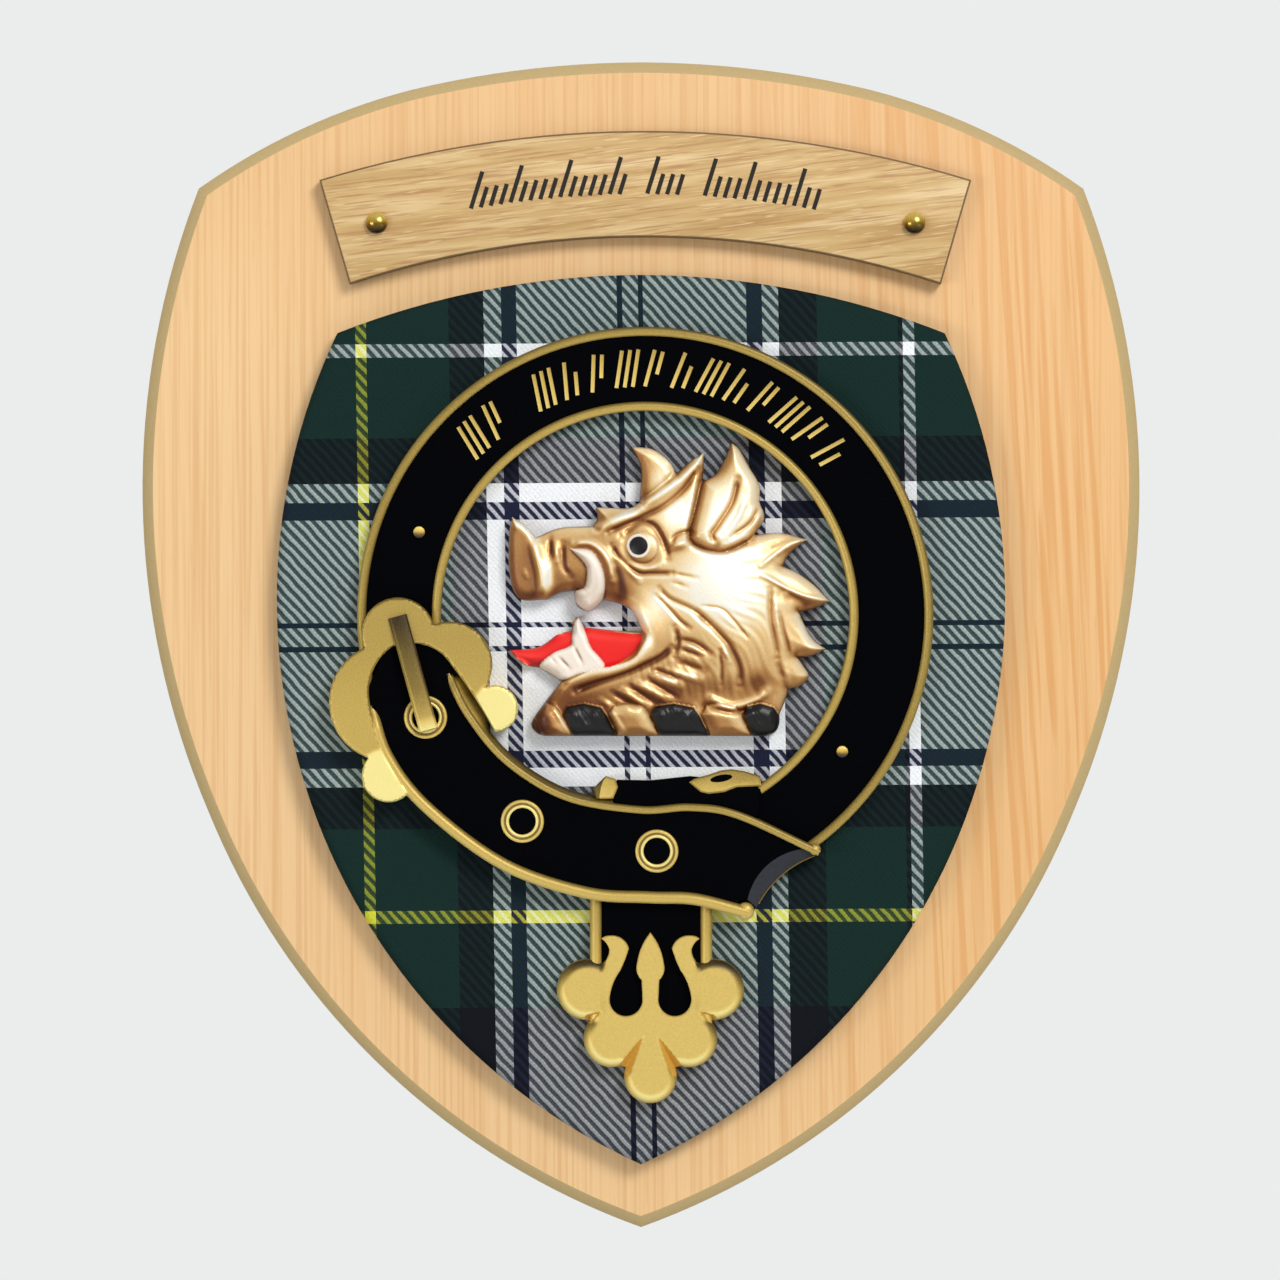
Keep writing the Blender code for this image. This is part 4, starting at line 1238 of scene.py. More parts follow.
@dataclass
class NameStrip:
    """The curved oak strip with its row of black strokes."""

    middle: float = 0.7
    top_half: float = 53.8
    foot_half: float = 48.8
    top_corner: float = 76.7
    foot_corner: float = 59.5
    top_rise: float = 8.1
    foot_rise: float = 7.8
    easing: float = 0.3
    writing_ends: tuple[float, float] = (-28.9, 29.3)
    writing_groups: tuple[int, ...] = (8, 2, 6)
    writing_gap: float = 0.9
    writing_foot: float = 71.6
    writing_rise: float = 2.7
    stroke_heights: tuple[float, float] = (3.5, 6.4)
    stroke_width: float = 0.7
    stroke_height: float = 0.12
    stroke_lift: float = 0.04
    stroke_lean: float = -0.3

    def outline(self) -> Outline:
        """The strip's edge.

        Returns:
            The outline, counterclockwise from its lower left corner.
        """
        foot_left, foot_right = self.middle - self.foot_half, self.middle + self.foot_half
        top_left, top_right = self.middle - self.top_half, self.middle + self.top_half
        return arcs((foot_left, self.foot_corner), [
            ((foot_right, self.foot_corner), -self.foot_rise), ((top_right, self.top_corner), 0),
            ((top_left, self.top_corner), self.top_rise)])

    def writing(self) -> tuple[list[Place], list[float], list[float]]:
        """Where the strokes of the name's row stand.

        Returns:
            The strokes' middles, leans and lengths: groups of slanting strokes, none of them a letter.
        """
        places, leans, lengths = [], [], []
        start, end = self.writing_ends
        pitch = (end - start) / (sum(self.writing_groups) + self.writing_gap * (len(self.writing_groups) - 1))
        low, tall = self.stroke_heights
        across = start
        for size in self.writing_groups:
            for k in range(2 * size):
                x = across + (k / 2 + 0.25) * pitch
                foot = self.writing_foot + self.writing_rise * (1 - (x / end) ** 2)
                length = tall if k == 0 or k % 5 == 4 else low
                places.append((x - self.stroke_lean * length / 2, foot + length / 2))
                leans.append(self.stroke_lean)
                lengths.append(length)
            across += (size + self.writing_gap) * pitch
        return places, leans, lengths

    def build(self) -> None:
        """Makes the strip and dresses it."""
        edge = self.easing
        rows = [(edge / 2, STRIP_BACK), (0, STRIP_BACK + edge / 2), (0, STRIP_FRONT - edge),
                (edge * 0.3, STRIP_FRONT - edge * 0.3), (edge, STRIP_FRONT)]
        shell = profiled(self.outline(), rows, [1, 1, 1, 1, 0])
        places, leans, lengths = self.writing()
        oak = OakFinish().material()
        edge_wood = PlainFinish("strip_edge", colour(104, 82, 52), colour(128, 102, 66), 0.6).material()
        ink = PlainFinish("black_ink", colour(34, 31, 28), colour(48, 44, 39), 0.6, specular=0.2).material()
        bars = strokes_at(places, leans, lengths, STRIP_FRONT + self.stroke_lift, self.stroke_width,
                          self.stroke_height, ink)
        shell.take_mesh(bars, 2, 0.5)
        piece = new_piece("oak_strip", shell.mesh("oak_strip"), [oak, edge_wood, ink])
        stand_for(piece, ["name_scroll"])


@dataclass
class Pin:
    """A round-headed brass pin."""

    name: str
    node: str
    place: Place
    seat: float
    radius: float
    height: float
    shank: float
    tip: float

    def build(self, brass: bpy.types.Material) -> None:
        """Makes the pin and dresses it.

        Args:
            brass: Its material.
        """
        under = self.seat + 0.3
        turns = np.linspace(math.pi / 2, 0, 12)
        dome = [(self.radius * math.cos(a), under + 0.12 + (self.height - 0.12) * math.sin(a)) for a in turns]
        dome[0] = (0, under + self.height)
        profile = [*dome, (self.radius - 0.1, under), (self.shank, under),
                   (self.shank, self.tip + self.shank), (0, self.tip)]
        shell = turned(self.place, profile, 40)
        # Painted reflection: the tone is low along the head's lower side and high at its top
        shell.tones = [0.5 + 0.5 * (z - self.place[1]) / self.radius for _, _, z in shell.points]
        piece = new_piece(self.name, shell.mesh(self.name, 50), [brass])
        stand_for(piece, [self.node])


class Coat(IntEnum):
    """The badge's paints, by their number on its mesh."""

    ENAMEL = 0
    GILDING = 1
    # A lighter grey-blue black: painted sheen on the tail end's bevel
    BEVEL_SHEEN = 2
    # An orange gold: painted shade on the walls of the chape's grooves
    AMBER = 3


@dataclass
class Badge:
    """The cast strap-and-buckle badge, built up on one surface."""

    shell: Shell = field(default_factory=Shell)
    gilding: bpy.types.Material = field(init=False)
    centre: Place = (0.7, 4.9)
    outer: float = 47.4
    inner: float = 33.6
    rim: float = 0.75
    rim_lift: float = 0.15
    rim_tones: tuple[float, float] = (0.47, 0.40)
    side_tone: float = 0.2
    tail_upper: tuple[Place, ...] = (
        (-31.7, -4.8), (-28.4, -11.4), (-22.0, -19.1), (-12.2, -25.0), (-0.2, -27.1),
        (8.1, -26.7), (16.0, -28.0), (29.3, -34.1))
    tail_lower: tuple[Place, ...] = (
        (-44.4, -10.2), (-41.7, -18.3), (-35.3, -26.6), (-22.7, -36.0), (-9.1, -40.7),
        (1.4, -41.5), (8.9, -41.8), (17.6, -44.0))
    tail_points: int = 160
    tail_stations: int = 140
    tail_cuts: tuple[float, float] = (14.5, 23.5)
    # Radius, lift and tone of the rims along the lower and the upper edge
    tail_rims: tuple[tuple[float, float, float], ...] = ((1.0, 0.0, 0.56), (0.65, 0.25, 0.42))
    tail_end: tuple[Place, Place] = ((29.3, -34.4), (19.0, -43.2))
    tail_end_hollow: float = 1.4
    tail_fold: tuple[Place, Place] = ((26.3, -33.6), (17.5, -41.9))
    tail_fold_hollow: float = 1.9
    tail_fold_from: tuple[Place, Place] = ((-7.5, 3.0), (-5.0, 1.6))
    tail_drop: float = 0.6
    tail_root: tuple[Place, ...] = (
        (-31.2, -5.4), (-30.4, -2.9), (-33.2, -0.4), (-36.9, 1.0), (-41.4, 0.6), (-45.4, -8.4),
        (-43.0, -14.0), (-37.0, -24.0), (-33.0, -14.0))
    skirt: float = 1.25
    # The place and the radius of each knob at the tail's corners
    knobs: tuple[tuple[Place, float], ...] = (((28.6, -33.6), 0.95), ((17.2, -43.7), 1.4))
    knob_rise: float = 0.9
    eyelets: tuple[Place, ...] = ((-19.5, -29.0), (2.6, -33.9), (-35.4, -11.9))
    # Radius, wire radius, lift and tone of the rings round every eyelet
    eyelet_rows: tuple[tuple[float, float, float, float], ...] = (
        (2.88, 0.5, -0.2, 0.26), (3.25, 0.3, 0.05, 0.66), (2.45, 0.27, 0.1, 0.92))
    # Corners, front, coat and tone of each plate
    slack_plates: tuple[tuple[tuple[Place, ...], float, int, float], ...] = (
        (((-5.0, -28.0), (19.4, -28.4), (19.9, -23.6), (17.0, -22.6), (8.1, -21.6), (1.5, -22.3),
          (-4.0, -22.2)), 18.05, Coat.ENAMEL, 0.4),
        (((-7.9, -23.7), (-7.3, -25.4), (-4.6, -25.3), (-3.8, -23.4), (-4.2, -22.1), (-5.8, -21.6)),
         18.4, Coat.GILDING, 0.6),
        # A dark copy over the left part of the cut end: painted shade on its side
        (((-7.9, -23.7), (-7.3, -25.4), (-6.7, -25.4), (-6.4, -23.6), (-5.8, -21.6)), 18.45,
         Coat.GILDING, 0.2),
        (((7.9, -22.6), (9.8, -24.2), (11.1, -24.5), (13.7, -24.2), (15.7, -23.4), (19.8, -23.2),
          (19.6, -21.6), (17.0, -20.8), (15.0, -20.5), (13.1, -20.7), (11.1, -21.4), (8.8, -22.0)),
         18.4, Coat.GILDING, 0.5),
    )
    # The middle of the slot in the loop, its half widths and its turn in degrees
    slack_slot: tuple[Place, Place, float] = ((13.2, -21.95), (1.85, 0.6), 10.0)
    slack_slot_depths: tuple[float, float] = (18.2, 18.43)
    hang_left: float = -8.4
    hang_right: float = 11.7
    hang_top: float = -38.0
    hang_foot: float = -62.0
    hang_rim: float = 0.95
    hang_tone: float = 0.55
    buckle_start: Place = (-45.5, -0.5)
    # Corners of the frame, with the swell of the arc to each
    buckle_edge: tuple[tuple[Place, float], ...] = (
        ((-44.8, -18.6), 6.1), ((-38.0, -24.2), 4.5), ((-44.7, -8.6), -1.2), ((-40.7, -0.2), -1.3),
        ((-36.9, 0.2), 0.0), ((-31.2, -3.3), -0.8), ((-24.0, -14.3), -0.3), ((-25.6, -7.0), 4.6),
        ((-34.1, 3.3), 4.9), ((-45.5, -0.5), 6.4))
    buckle_lobes: tuple[tuple[Place, float], ...] = (((-22.9, -10.5), 4.2), ((-42.0, -22.0), 4.4))
    prong_top: Place = (-40.0, 4.7)
    prong_foot: Place = (-34.8, -14.2)
    prong_width: float = 3.1
    # Share of the length, front and tone; the tone grows towards the lower end as painted light
    prong_stations: tuple[tuple[float, float, float], ...] = (
        (0.0, 20.3, 0.12), (0.3, 20.6, 0.2), (0.62, 20.9, 0.32), (0.87, 21.1, 0.5),
        (0.92, 21.1, 0.75), (0.985, 20.9, 0.95), (1.0, 18.5, 0.7))
    chape_middle: float = 1.55
    chape_point: float = -47.3
    chape_bevel: float = 1.75
    # Corners of the right half, with the swell of the arc to each
    chape_half: tuple[tuple[Place, float], ...] = (
        ((3.75, -52.4), 0.4), ((3.0, -55.1), 0.4), ((2.85, -58.2), 0.0), ((8.25, -57.9), -3.0),
        ((6.5, -53.5), -0.3), ((5.1, -49.9), 0.1), ((8.2, -47.8), 0.7), ((9.6, -48.3), 0.15),
        ((8.3, -50.05), -0.2), ((9.4, -52.4), -0.3), ((11.4, -61.7), 6.6), ((6.5, -69.3), 3.4),
        ((5.6, -69.5), 0.0), ((1.55, -75.4), 1.9))
    # Start, end and spread of the grooves of the right half
    chape_grooves: tuple[tuple[Place, Place, float], ...] = (
        ((1.05, -64.0), (4.35, -69.9), 1.15), ((8.0, -60.2), (10.1, -61.5), 0.7))
    lit_from: tuple[float, float, float] = (-0.10, 0.0, -0.24)
    writing_radius: float = 40.6
    writing_from: float = 134.0
    writing_to: float = 41.0
    writing_slots: int = 15
    writing_gap: int = 2
    writing_height: float = 6.2
    writing_lean: float = -0.22
    writing_lift: float = 0.28
    writing_tone: float = 0.62
    stroke_gap: float = 1.35
    stroke_width: float = 0.62
    stroke_height: float = 0.5

    def circle(self, radius: float, steps: int = 240) -> Outline:
        """A circle about the badge's centre."""
        angles = np.linspace(0, 2 * math.pi, steps, endpoint=False)
        return around(self.centre, radius, angles)

    def add_rim(self, path: Outline, depth: float, radius: float, tone: float,
                closed: bool = False, sunk: float = 0.0) -> None:
        """Adds a gilded rim along a path.

        Args:
            path: The places it passes through.
            depth: The depth of its middle.
            radius: Its radius.
            tone: How light its paint is.
            closed: Whether the path joins up.
            sunk: How much deeper its first point lies.
        """
        rim = rim_along(path, depth, radius, self.gilding, closed, sunk)
        self.shell.take_mesh(rim, Coat.GILDING, tone)

    def ring(self) -> None:
        """Adds the ring of strap and its two rims."""
        radii = ((self.inner, CAST_BACK), (self.outer, CAST_BACK),
                 (self.outer, BAND_FRONT), (self.inner, BAND_FRONT))
        band = turned(self.centre, radii, 240)
        for k, face in enumerate(band.faces):
            front = all(band.points[p][1] < -BAND_FRONT + 0.01 for p in face)
            band.slots[k] = Coat.ENAMEL if front else Coat.GILDING
        # The band's sides are painted dark brown: painted shade
        band.tones = [self.side_tone] * len(band.points)
        self.shell.merge(band)
        for radius, tone in zip((self.inner + self.rim, self.outer - self.rim), self.rim_tones):
            self.add_rim(self.circle(radius), BAND_FRONT + self.rim_lift, self.rim, tone, closed=True)

    def tail(self) -> None:
        """Adds the free strap end that passes over the ring."""
        lower, upper = (picked(smooth(edge, 0.1), self.tail_points)
                        for edge in (self.tail_lower, self.tail_upper))
        left, right = (picked([p for p in edge if p[0] < last], self.tail_stations)
                       for edge, last in zip((lower, upper), self.tail_cuts))
        self.shell.merge(lofted(left, right, [TAIL_FRONT] * self.tail_stations, CAST_BACK,
                                (Coat.ENAMEL, Coat.GILDING)))
        self.shell.merge(profiled(list(self.tail_root), [(0, CAST_BACK), (0, TAIL_FRONT - 0.05)]))
        self.shell.merge(self.side_wall(upper))
        for edge, (radius, lift, tone) in zip((lower, upper), self.tail_rims):
            self.add_rim(edge, TAIL_FRONT + lift, radius, tone, sunk=radius + lift)
        self.shell.merge(self.folded_end(upper[-1], lower[-1]))
        line = self.hollow_line(self.tail_end, self.tail_end_hollow, 0.25)
        self.add_rim(line[3:-3], TAIL_FRONT - self.tail_drop, 0.13, 0.2)
        for place, radius in self.knobs:
            turns = np.linspace(math.pi / 2, 0, 8)
            dome = [(radius * math.cos(a), TAIL_FRONT + self.knob_rise * math.sin(a)) for a in turns]
            dome[0] = (0, dome[0][1])
            knob = turned(place, [*dome, (radius, CAST_BACK), (0, CAST_BACK)], 32, Coat.GILDING)
            knob.tones = [0.6] * len(knob.points)
            self.shell.merge(knob)

    def hollow_line(self, ends: tuple[Place, Place], hollow: float, step: float) -> Outline:
        """Evenly spaced points on a line across the tail that is hollow in the middle."""
        return evened(arcs(ends[0], [(ends[1], hollow)]), step)

    def side_wall(self, upper: Outline) -> Shell:
        """The slope that falls away above the tail's upper edge, painted brown: painted shade.

        Args:
            upper: The tail's upper edge.

        Returns:
            The closed slope.
        """
        spots = np.array(upper)
        way = np.gradient(spots, axis=0)
        out = np.stack([-way[:, 1], way[:, 0]], 1) / np.linalg.norm(way, axis=1, keepdims=True)
        share = np.linspace(0, 1, len(spots))
        width = self.skirt * (0.04 + 0.96 * ease(share, 0.0, 0.025))
        width *= 1.0 + 0.8 * ease(share, 0.165, 0.12) - 0.55 * ease(share, 0.55, 1.0)
        foot = [tuple(p) for p in spots + out * width[:, None]]
        wall = Shell()
        count = len(upper)
        # The dark tones on this slope are painted shade
        rows = [wall.add_points(edge, [depth] * count, tone) for edge, depth, tone in (
            (upper, CAST_BACK, 0.14), (upper, TAIL_FRONT + 0.1, 0.46),
            (foot, BAND_FRONT + 0.1, 0.26), (foot, CAST_BACK, 0.1))]
        wall.enclose(rows, [Coat.GILDING] * len(rows), Coat.GILDING)
        return wall

    def folded_end(self, upper: Place, lower: Place) -> Shell:
        """The tail's bevelled end, from its rims' ends to the outer line.

        Args:
            upper: Where the tail's upper edge ends.
            lower: Where its lower edge ends.

        Returns:
            The closed end piece.
        """
        outer = self.hollow_line(self.tail_end, self.tail_end_hollow, 0.25)
        count = len(outer)
        inner = picked(self.hollow_line(self.tail_fold, self.tail_fold_hollow, 0.05), count)
        ends = [(x + right, z + up) for (x, z), (right, up) in zip((upper, lower), self.tail_fold_from)]
        start = picked(evened(ends, 0.05), count)
        end = Shell()
        rows = [end.add_points(edge, [depth] * count) for edge, depth in (
            (start, CAST_BACK), (start, TAIL_FRONT - 0.02), (inner, TAIL_FRONT),
            (outer, TAIL_FRONT - self.tail_drop), (outer, CAST_BACK))]
        # The bevel between the inner and the outer line takes the lighter grey-blue black: a painted sheen
        end.enclose(rows, (Coat.ENAMEL, Coat.ENAMEL, Coat.BEVEL_SHEEN, Coat.ENAMEL, Coat.ENAMEL), Coat.ENAMEL)
        return end

    def hanging_end(self) -> None:
        """Adds the length of strap that hangs below, with its rims."""
        left = [(self.hang_left, z) for z in (self.hang_top, self.hang_foot)]
        right = [(self.hang_right, z) for z in (self.hang_top, self.hang_foot)]
        self.shell.merge(lofted(left, right, [BAND_FRONT] * 2, CAST_BACK, (Coat.ENAMEL, Coat.GILDING)))
        for x in (self.hang_left + self.hang_rim, self.hang_right - self.hang_rim):
            self.add_rim([(x, self.hang_top), (x, self.hang_foot)], BAND_FRONT, self.hang_rim, self.hang_tone)

    def buckle(self) -> None:
        """Adds the buckle's scalloped frame."""
        edge = arcs(self.buckle_start, self.buckle_edge)[:-1]
        outline = evened([*edge, edge[0]], 0.22)[:-1]

        def heights(points: np.ndarray) -> np.ndarray:
            """A flat front with a rounded edge."""
            inset = reach(points, [*outline, outline[0]])
            return BUCKLE_FRONT - CAST_BACK - 0.5 + 0.5 * rounded(inset, 0.5)

        frame_shell = relief(outline, 0.3, heights, CAST_BACK, Coat.GILDING)
        spots = np.array([(x, z) for x, _, z in frame_shell.points])
        pale = np.zeros(len(spots))
        for centre, radius in self.buckle_lobes:
            pale = np.maximum(pale, ease(np.linalg.norm(spots - centre, axis=1), radius + 0.9, radius))
        # Painted light: the flat front is a little lighter towards the bottom, as if lit from below
        flat = 0.47 + 0.07 * ease(spots[:, 1], 2.0, -14.0)
        frame_shell.tones = (flat + 0.48 * pale).tolist()
        self.shell.merge(frame_shell)

    def prong(self) -> None:
        """Adds the buckle's prong, which rises towards its lower end, turns down and is painted lighter
        there, as painted light, and darker along its sides, as painted shade.
        """
        top, foot = np.array(self.prong_top), np.array(self.prong_foot)
        way = (foot - top) / np.linalg.norm(foot - top)
        side = np.array((-way[1], way[0]))
        bar = Shell()
        rings = []
        for share, front, tone in self.prong_stations:
            middle = top + (foot - top) * share
            # Share of the width, depth and change of tone of each corner; the darker sides are painted shade
            section = [(-0.5, CAST_BACK + 2.2, -0.12), (-0.5, front - 0.4, -0.05),
                       (-0.4, front - 0.06, 0.1), (-0.3, front, 0.0), (0.3, front, 0.0),
                       (0.4, front - 0.06, 0.0), (0.5, front - 0.4, -0.1), (0.5, CAST_BACK + 2.2, -0.15)]
            ring = []
            for across, depth, change in section:
                place = tuple(middle + side * across * self.prong_width)
                ring += bar.add_points([place], [depth], min(1.0, max(0.0, tone + change)))
            rings.append(ring)
        for first, second in zip(rings, rings[1:]):
            bar.bridge(first, second, Coat.GILDING)
        for last in (0, -1):
            bar.add_face(rings[last], Coat.GILDING)
        self.shell.merge(bar)

    def slack(self) -> None:
        """Adds the slack strap behind the tail, with its cut end and its folded loop."""
        for corners, front, coat, tone in self.slack_plates:
            profile = [(0, CAST_BACK), (0, front - 0.3), (0.25, front)]
            plate = profiled(list(corners), profile, [Coat.GILDING, coat, coat])
            plate.tones = [tone] * len(plate.points)
            self.shell.merge(plate)
        (x, z), (long_half, short_half), tilt = self.slack_slot
        c, s = math.cos(math.radians(tilt)), math.sin(math.radians(tilt))
        turns = np.linspace(0, 2 * math.pi, 32)[:-1]
        ring = [(long_half * math.cos(a), short_half * math.sin(a)) for a in turns]
        slot = [(x + u * c - v * s, z + u * s + v * c) for u, v in ring]
        foot, front = self.slack_slot_depths
        self.shell.merge(profiled(slot, [(0, foot), (0.02, front)]))

    def chape(self) -> None:
        """Adds the lobed ornament at the hanging end."""
        moves = [(corner, -swell) for corner, swell in self.chape_half]
        half = arcs((self.chape_middle, self.chape_point), moves)
        whole = mirrored(half, self.chape_middle)[::-1]
        outline = evened([*whole, whole[0]], 0.16)[:-1]
        closed = [*outline, outline[0]]
        middle, bevel = self.chape_middle, self.chape_bevel

        def lobed(points: np.ndarray) -> np.ndarray:
            """Where the edge is soft.

            Args:
                points: The places asked for.

            Returns:
                1 along the lobes and 0 along the spear and the scrolls.
            """
            off = np.abs(points[:, 0] - middle)
            side = ease(off, 6.9, 8.4) * ease(points[:, 1], -51.0, -52.2)
            return np.maximum(ease(points[:, 1], -63.2, -64.2), side)

        def grooves(points: np.ndarray) -> np.ndarray:
            """How deep the grooves between the lobes are.

            Args:
                points: The places asked for.

            Returns:
                One depth a place.
            """
            folded = np.stack([np.abs(points[:, 0] - middle), points[:, 1]], 1)
            found = np.zeros(len(points))
            for start, end, spread in self.chape_grooves:
                way = np.array(end) - start
                share = np.clip((folded - start) @ way / (way @ way), 0, 1)
                aside = np.linalg.norm(folded - start - share[:, None] * way, axis=1)
                found = np.maximum(found, 1.7 * share * (1 - np.clip(aside / (0.2 + spread * share), 0, 1)))
            return found

        def heights(points: np.ndarray) -> np.ndarray:
            """A flat front, rounded off along the lobes and crisp elsewhere, with the grooves.

            Args:
                points: The places asked for.

            Returns:
                One height a place.
            """
            soft = lobed(points)
            width = 0.25 + (bevel - 0.25) * soft
            drop = (0.2 + (bevel - 0.35) * soft) * (1 - rounded(reach(points, closed), width))
            return CHAPE_FRONT - CAST_BACK - np.maximum(drop, grooves(points))

        made = relief(outline, 0.19, heights, CAST_BACK, Coat.GILDING)
        spots = np.array([(x, z) for x, _, z in made.points])
        nudge = np.array((0.0, 0.15))
        # Painted light and shade on the lobes' bevels: lighter on the bevels that face down, with a painted
        # highlight (glint) along them, darker on those that face up and to the sides
        rise = (reach(spots + nudge, closed) - reach(spots - nudge, closed)) / 0.3
        edge = (1 - np.clip(reach(spots, closed) / bevel, 0, 1)) * lobed(spots)
        down, up = np.clip(rise, 0, 1), np.clip(-rise, 0, 1)
        glint = np.exp(-(((edge - 0.42) / 0.2) ** 2))
        tones = 0.66 + 0.34 * down * glint - 0.14 * down * ease(edge, 0.65, 1.0)
        tones -= 0.5 * up * ease(edge, 0.0, 0.5)
        made.tones = (tones - 0.16 * (1 - np.abs(rise)) * edge).tolist()
        # Faces in the grooves take the orange gold: painted shade on the groove walls
        sunk = grooves(spots) > 0.12
        made.slots = [Coat.AMBER if sunk[list(face)].all() and len(face) == 3 else slot
                      for face, slot in zip(made.faces, made.slots)]
        self.shell.merge(made)

    def writing(self) -> bpy.types.Mesh:
        """The strokes along the top of the ring, none of them a letter.

        Returns:
            The strokes as a plain mesh.
        """
        places, leans, lengths = [], [], []
        tall = self.writing_height
        angles = np.linspace(self.writing_from, self.writing_to, self.writing_slots)
        for k, angle in enumerate(np.radians(angles)):
            if k == self.writing_gap:
                continue
            out = np.array((math.cos(angle), math.sin(angle)))
            along = np.array((math.sin(angle), -math.cos(angle)))
            upright = math.atan2(-out[0], out[1])
            # How far along the ring, how far outwards and how long each stroke is
            marks = [(across, 0.0, tall) for across in (-self.stroke_gap, 0.0, self.stroke_gap)]
            if k % 3:
                marks = [(-1.0, 0.0, tall), (0.6, 0.9 if k % 2 else -0.9, tall * 0.62)]
            for across, lift, length in marks:
                spot = np.array(self.centre) + out * (self.writing_radius + lift) + along * across
                places.append(tuple(spot))
                leans.append(upright + self.writing_lean)
                lengths.append(length)
        return strokes_at(places, leans, lengths, BAND_FRONT + self.writing_lift, self.stroke_width,
                          self.stroke_height, self.gilding)

    def eyelet_rings(self, radius: float, wire: float, depth: float) -> bpy.types.Mesh:
        """One raised ring round each of the strap's holes.

        Args:
            radius: The rings' radius.
            wire: Half the thickness of a ring.
            depth: The depth of the rings' middles.

        Returns:
            The rings as a plain mesh.
        """
        seed = bpy.data.meshes.new("eyelet_places")
        seed.from_pydata([(x * MM, -depth * MM, z * MM) for x, z in self.eyelets], [], [])
        growth = Growth("eyelet_set", {"Ring Radius": radius * MM, "Wire Radius": wire * MM})
        path = growth.add("GeometryNodeCurvePrimitiveCircle", {
            "Resolution": 56, "Radius": growth.entry.outputs["Ring Radius"]})
        section = growth.add("GeometryNodeCurvePrimitiveCircle", {
            "Resolution": 16, "Radius": growth.entry.outputs["Wire Radius"]})
        ring = growth.add("GeometryNodeCurveToMesh", {
            "Curve": path.outputs[0], "Profile Curve": section.outputs[0]})
        rings = growth.add("GeometryNodeInstanceOnPoints", {
            "Points": growth.entry.outputs["Geometry"], "Instance": ring.outputs[0],
            "Rotation": (math.pi / 2, 0.0, 0.0)})
        return growth.grown(seed, rings, self.gilding)

    def build(self) -> None:
        """Makes the badge, all one casting, and dresses it."""
        enamel, self.gilding = EnamelFinish().material(), GildingFinish().material()
        # A lighter black for painted sheen on the tail end's bevel, and an orange gold for painted shade in
        # the chape's grooves
        bevel_sheen = PlainFinish("bevel_sheen_black", colour(22, 25, 31), colour(42, 46, 56), 0.55).material()
        amber = PlainFinish("amber_gilding", colour(196, 142, 44), colour(216, 168, 70), 0.45).material()
        for add in (self.ring, self.hanging_end, self.chape, self.slack, self.tail, self.buckle, self.prong):
            add()
        for radius, wire, lift, tone in self.eyelet_rows:
            rings = self.eyelet_rings(radius, wire, TAIL_FRONT + lift)
            self.shell.take_mesh(rings, Coat.GILDING, tone)
        self.shell.take_mesh(self.writing(), Coat.GILDING, self.writing_tone)
        mesh = self.shell.mesh("strap_and_buckle", 32)
        self.shade(mesh)
        piece = new_piece("strap_and_buckle", mesh, [enamel, self.gilding, bevel_sheen, amber])
        stand_for(piece, ["strap_badge"])

    def shade(self, mesh: bpy.types.Mesh) -> None:
        """Paints light and shade into the tone: lighter on slopes that face down and left, towards the light,
        and darker on the others.

        Args:
            mesh: The badge's mesh, whose attribute is changed.
        """
        tones = np.empty(len(mesh.vertices))
        mesh.attributes["tone"].data.foreach_get("value", tones)
        slope = vertex_rows(mesh, "normal") @ np.array(self.lit_from)
        store(mesh, "tone", np.clip(tones + slope, 0, 1))


@dataclass(frozen=True)
class Form:
    """A raised or sunk area of the head: its outline, its rise and the width of its rounded edge."""

    outline: tuple[Place, ...]
    rise: float
    edge: float
    step: float = 0.6

    def inside(self, points: np.ndarray, step: float) -> np.ndarray:
        """How far inside the smooth outline each point is, for an outline with this spacing."""
        return depth_inside(points, smooth([*self.outline, self.outline[0]], step)[:-1])

    def heights(self, points: np.ndarray) -> np.ndarray:
        """How far it lifts each point."""
        return self.rise * rounded(self.inside(points, self.step), self.edge)


@dataclass(frozen=True)
class Fold:
    """A ridge or a groove of the head: its line, its half width and its height."""

    line: tuple[Place, ...]
    half_width: float
    rise: float

    def heights(self, points: np.ndarray) -> np.ndarray:
        """How far it lifts each point, less towards its two ends.

        Args:
            points: The places asked for.

        Returns:
            One height a place.
        """
        path = np.array(smooth(self.line, 0.5))
        margin = 3 * self.half_width
        near = np.all((points > path.min(0) - margin) & (points < path.max(0) + margin), axis=1)
        some = points[near]
        lift = np.exp(-((reach(some, path) / self.half_width) ** 2))
        ends = np.minimum(*(np.linalg.norm(some - end, axis=1) for end in (path[0], path[-1])))
        found = np.zeros(len(points))
        found[near] = self.rise * lift * (0.4 + 0.6 * ease(ends, 0.0, 1.3))
        return found


@dataclass(frozen=True)
class Mass:
    """A soft swelling of the head: its centre, half widths, turn in degrees and height."""

    centre: Place
    half: Place
    turn: float
    rise: float

    def heights(self, points: np.ndarray) -> np.ndarray:
        """How far it lifts each point.

        Args:
            points: The places asked for.

        Returns:
            One height a place.
        """
        c, s = math.cos(math.radians(self.turn)), math.sin(math.radians(self.turn))
        offset = points - np.array(self.centre)
        along, up = offset @ (c, s) / self.half[0], offset @ (-s, c) / self.half[1]
        return self.rise * np.exp(-(along ** 2 + up ** 2))


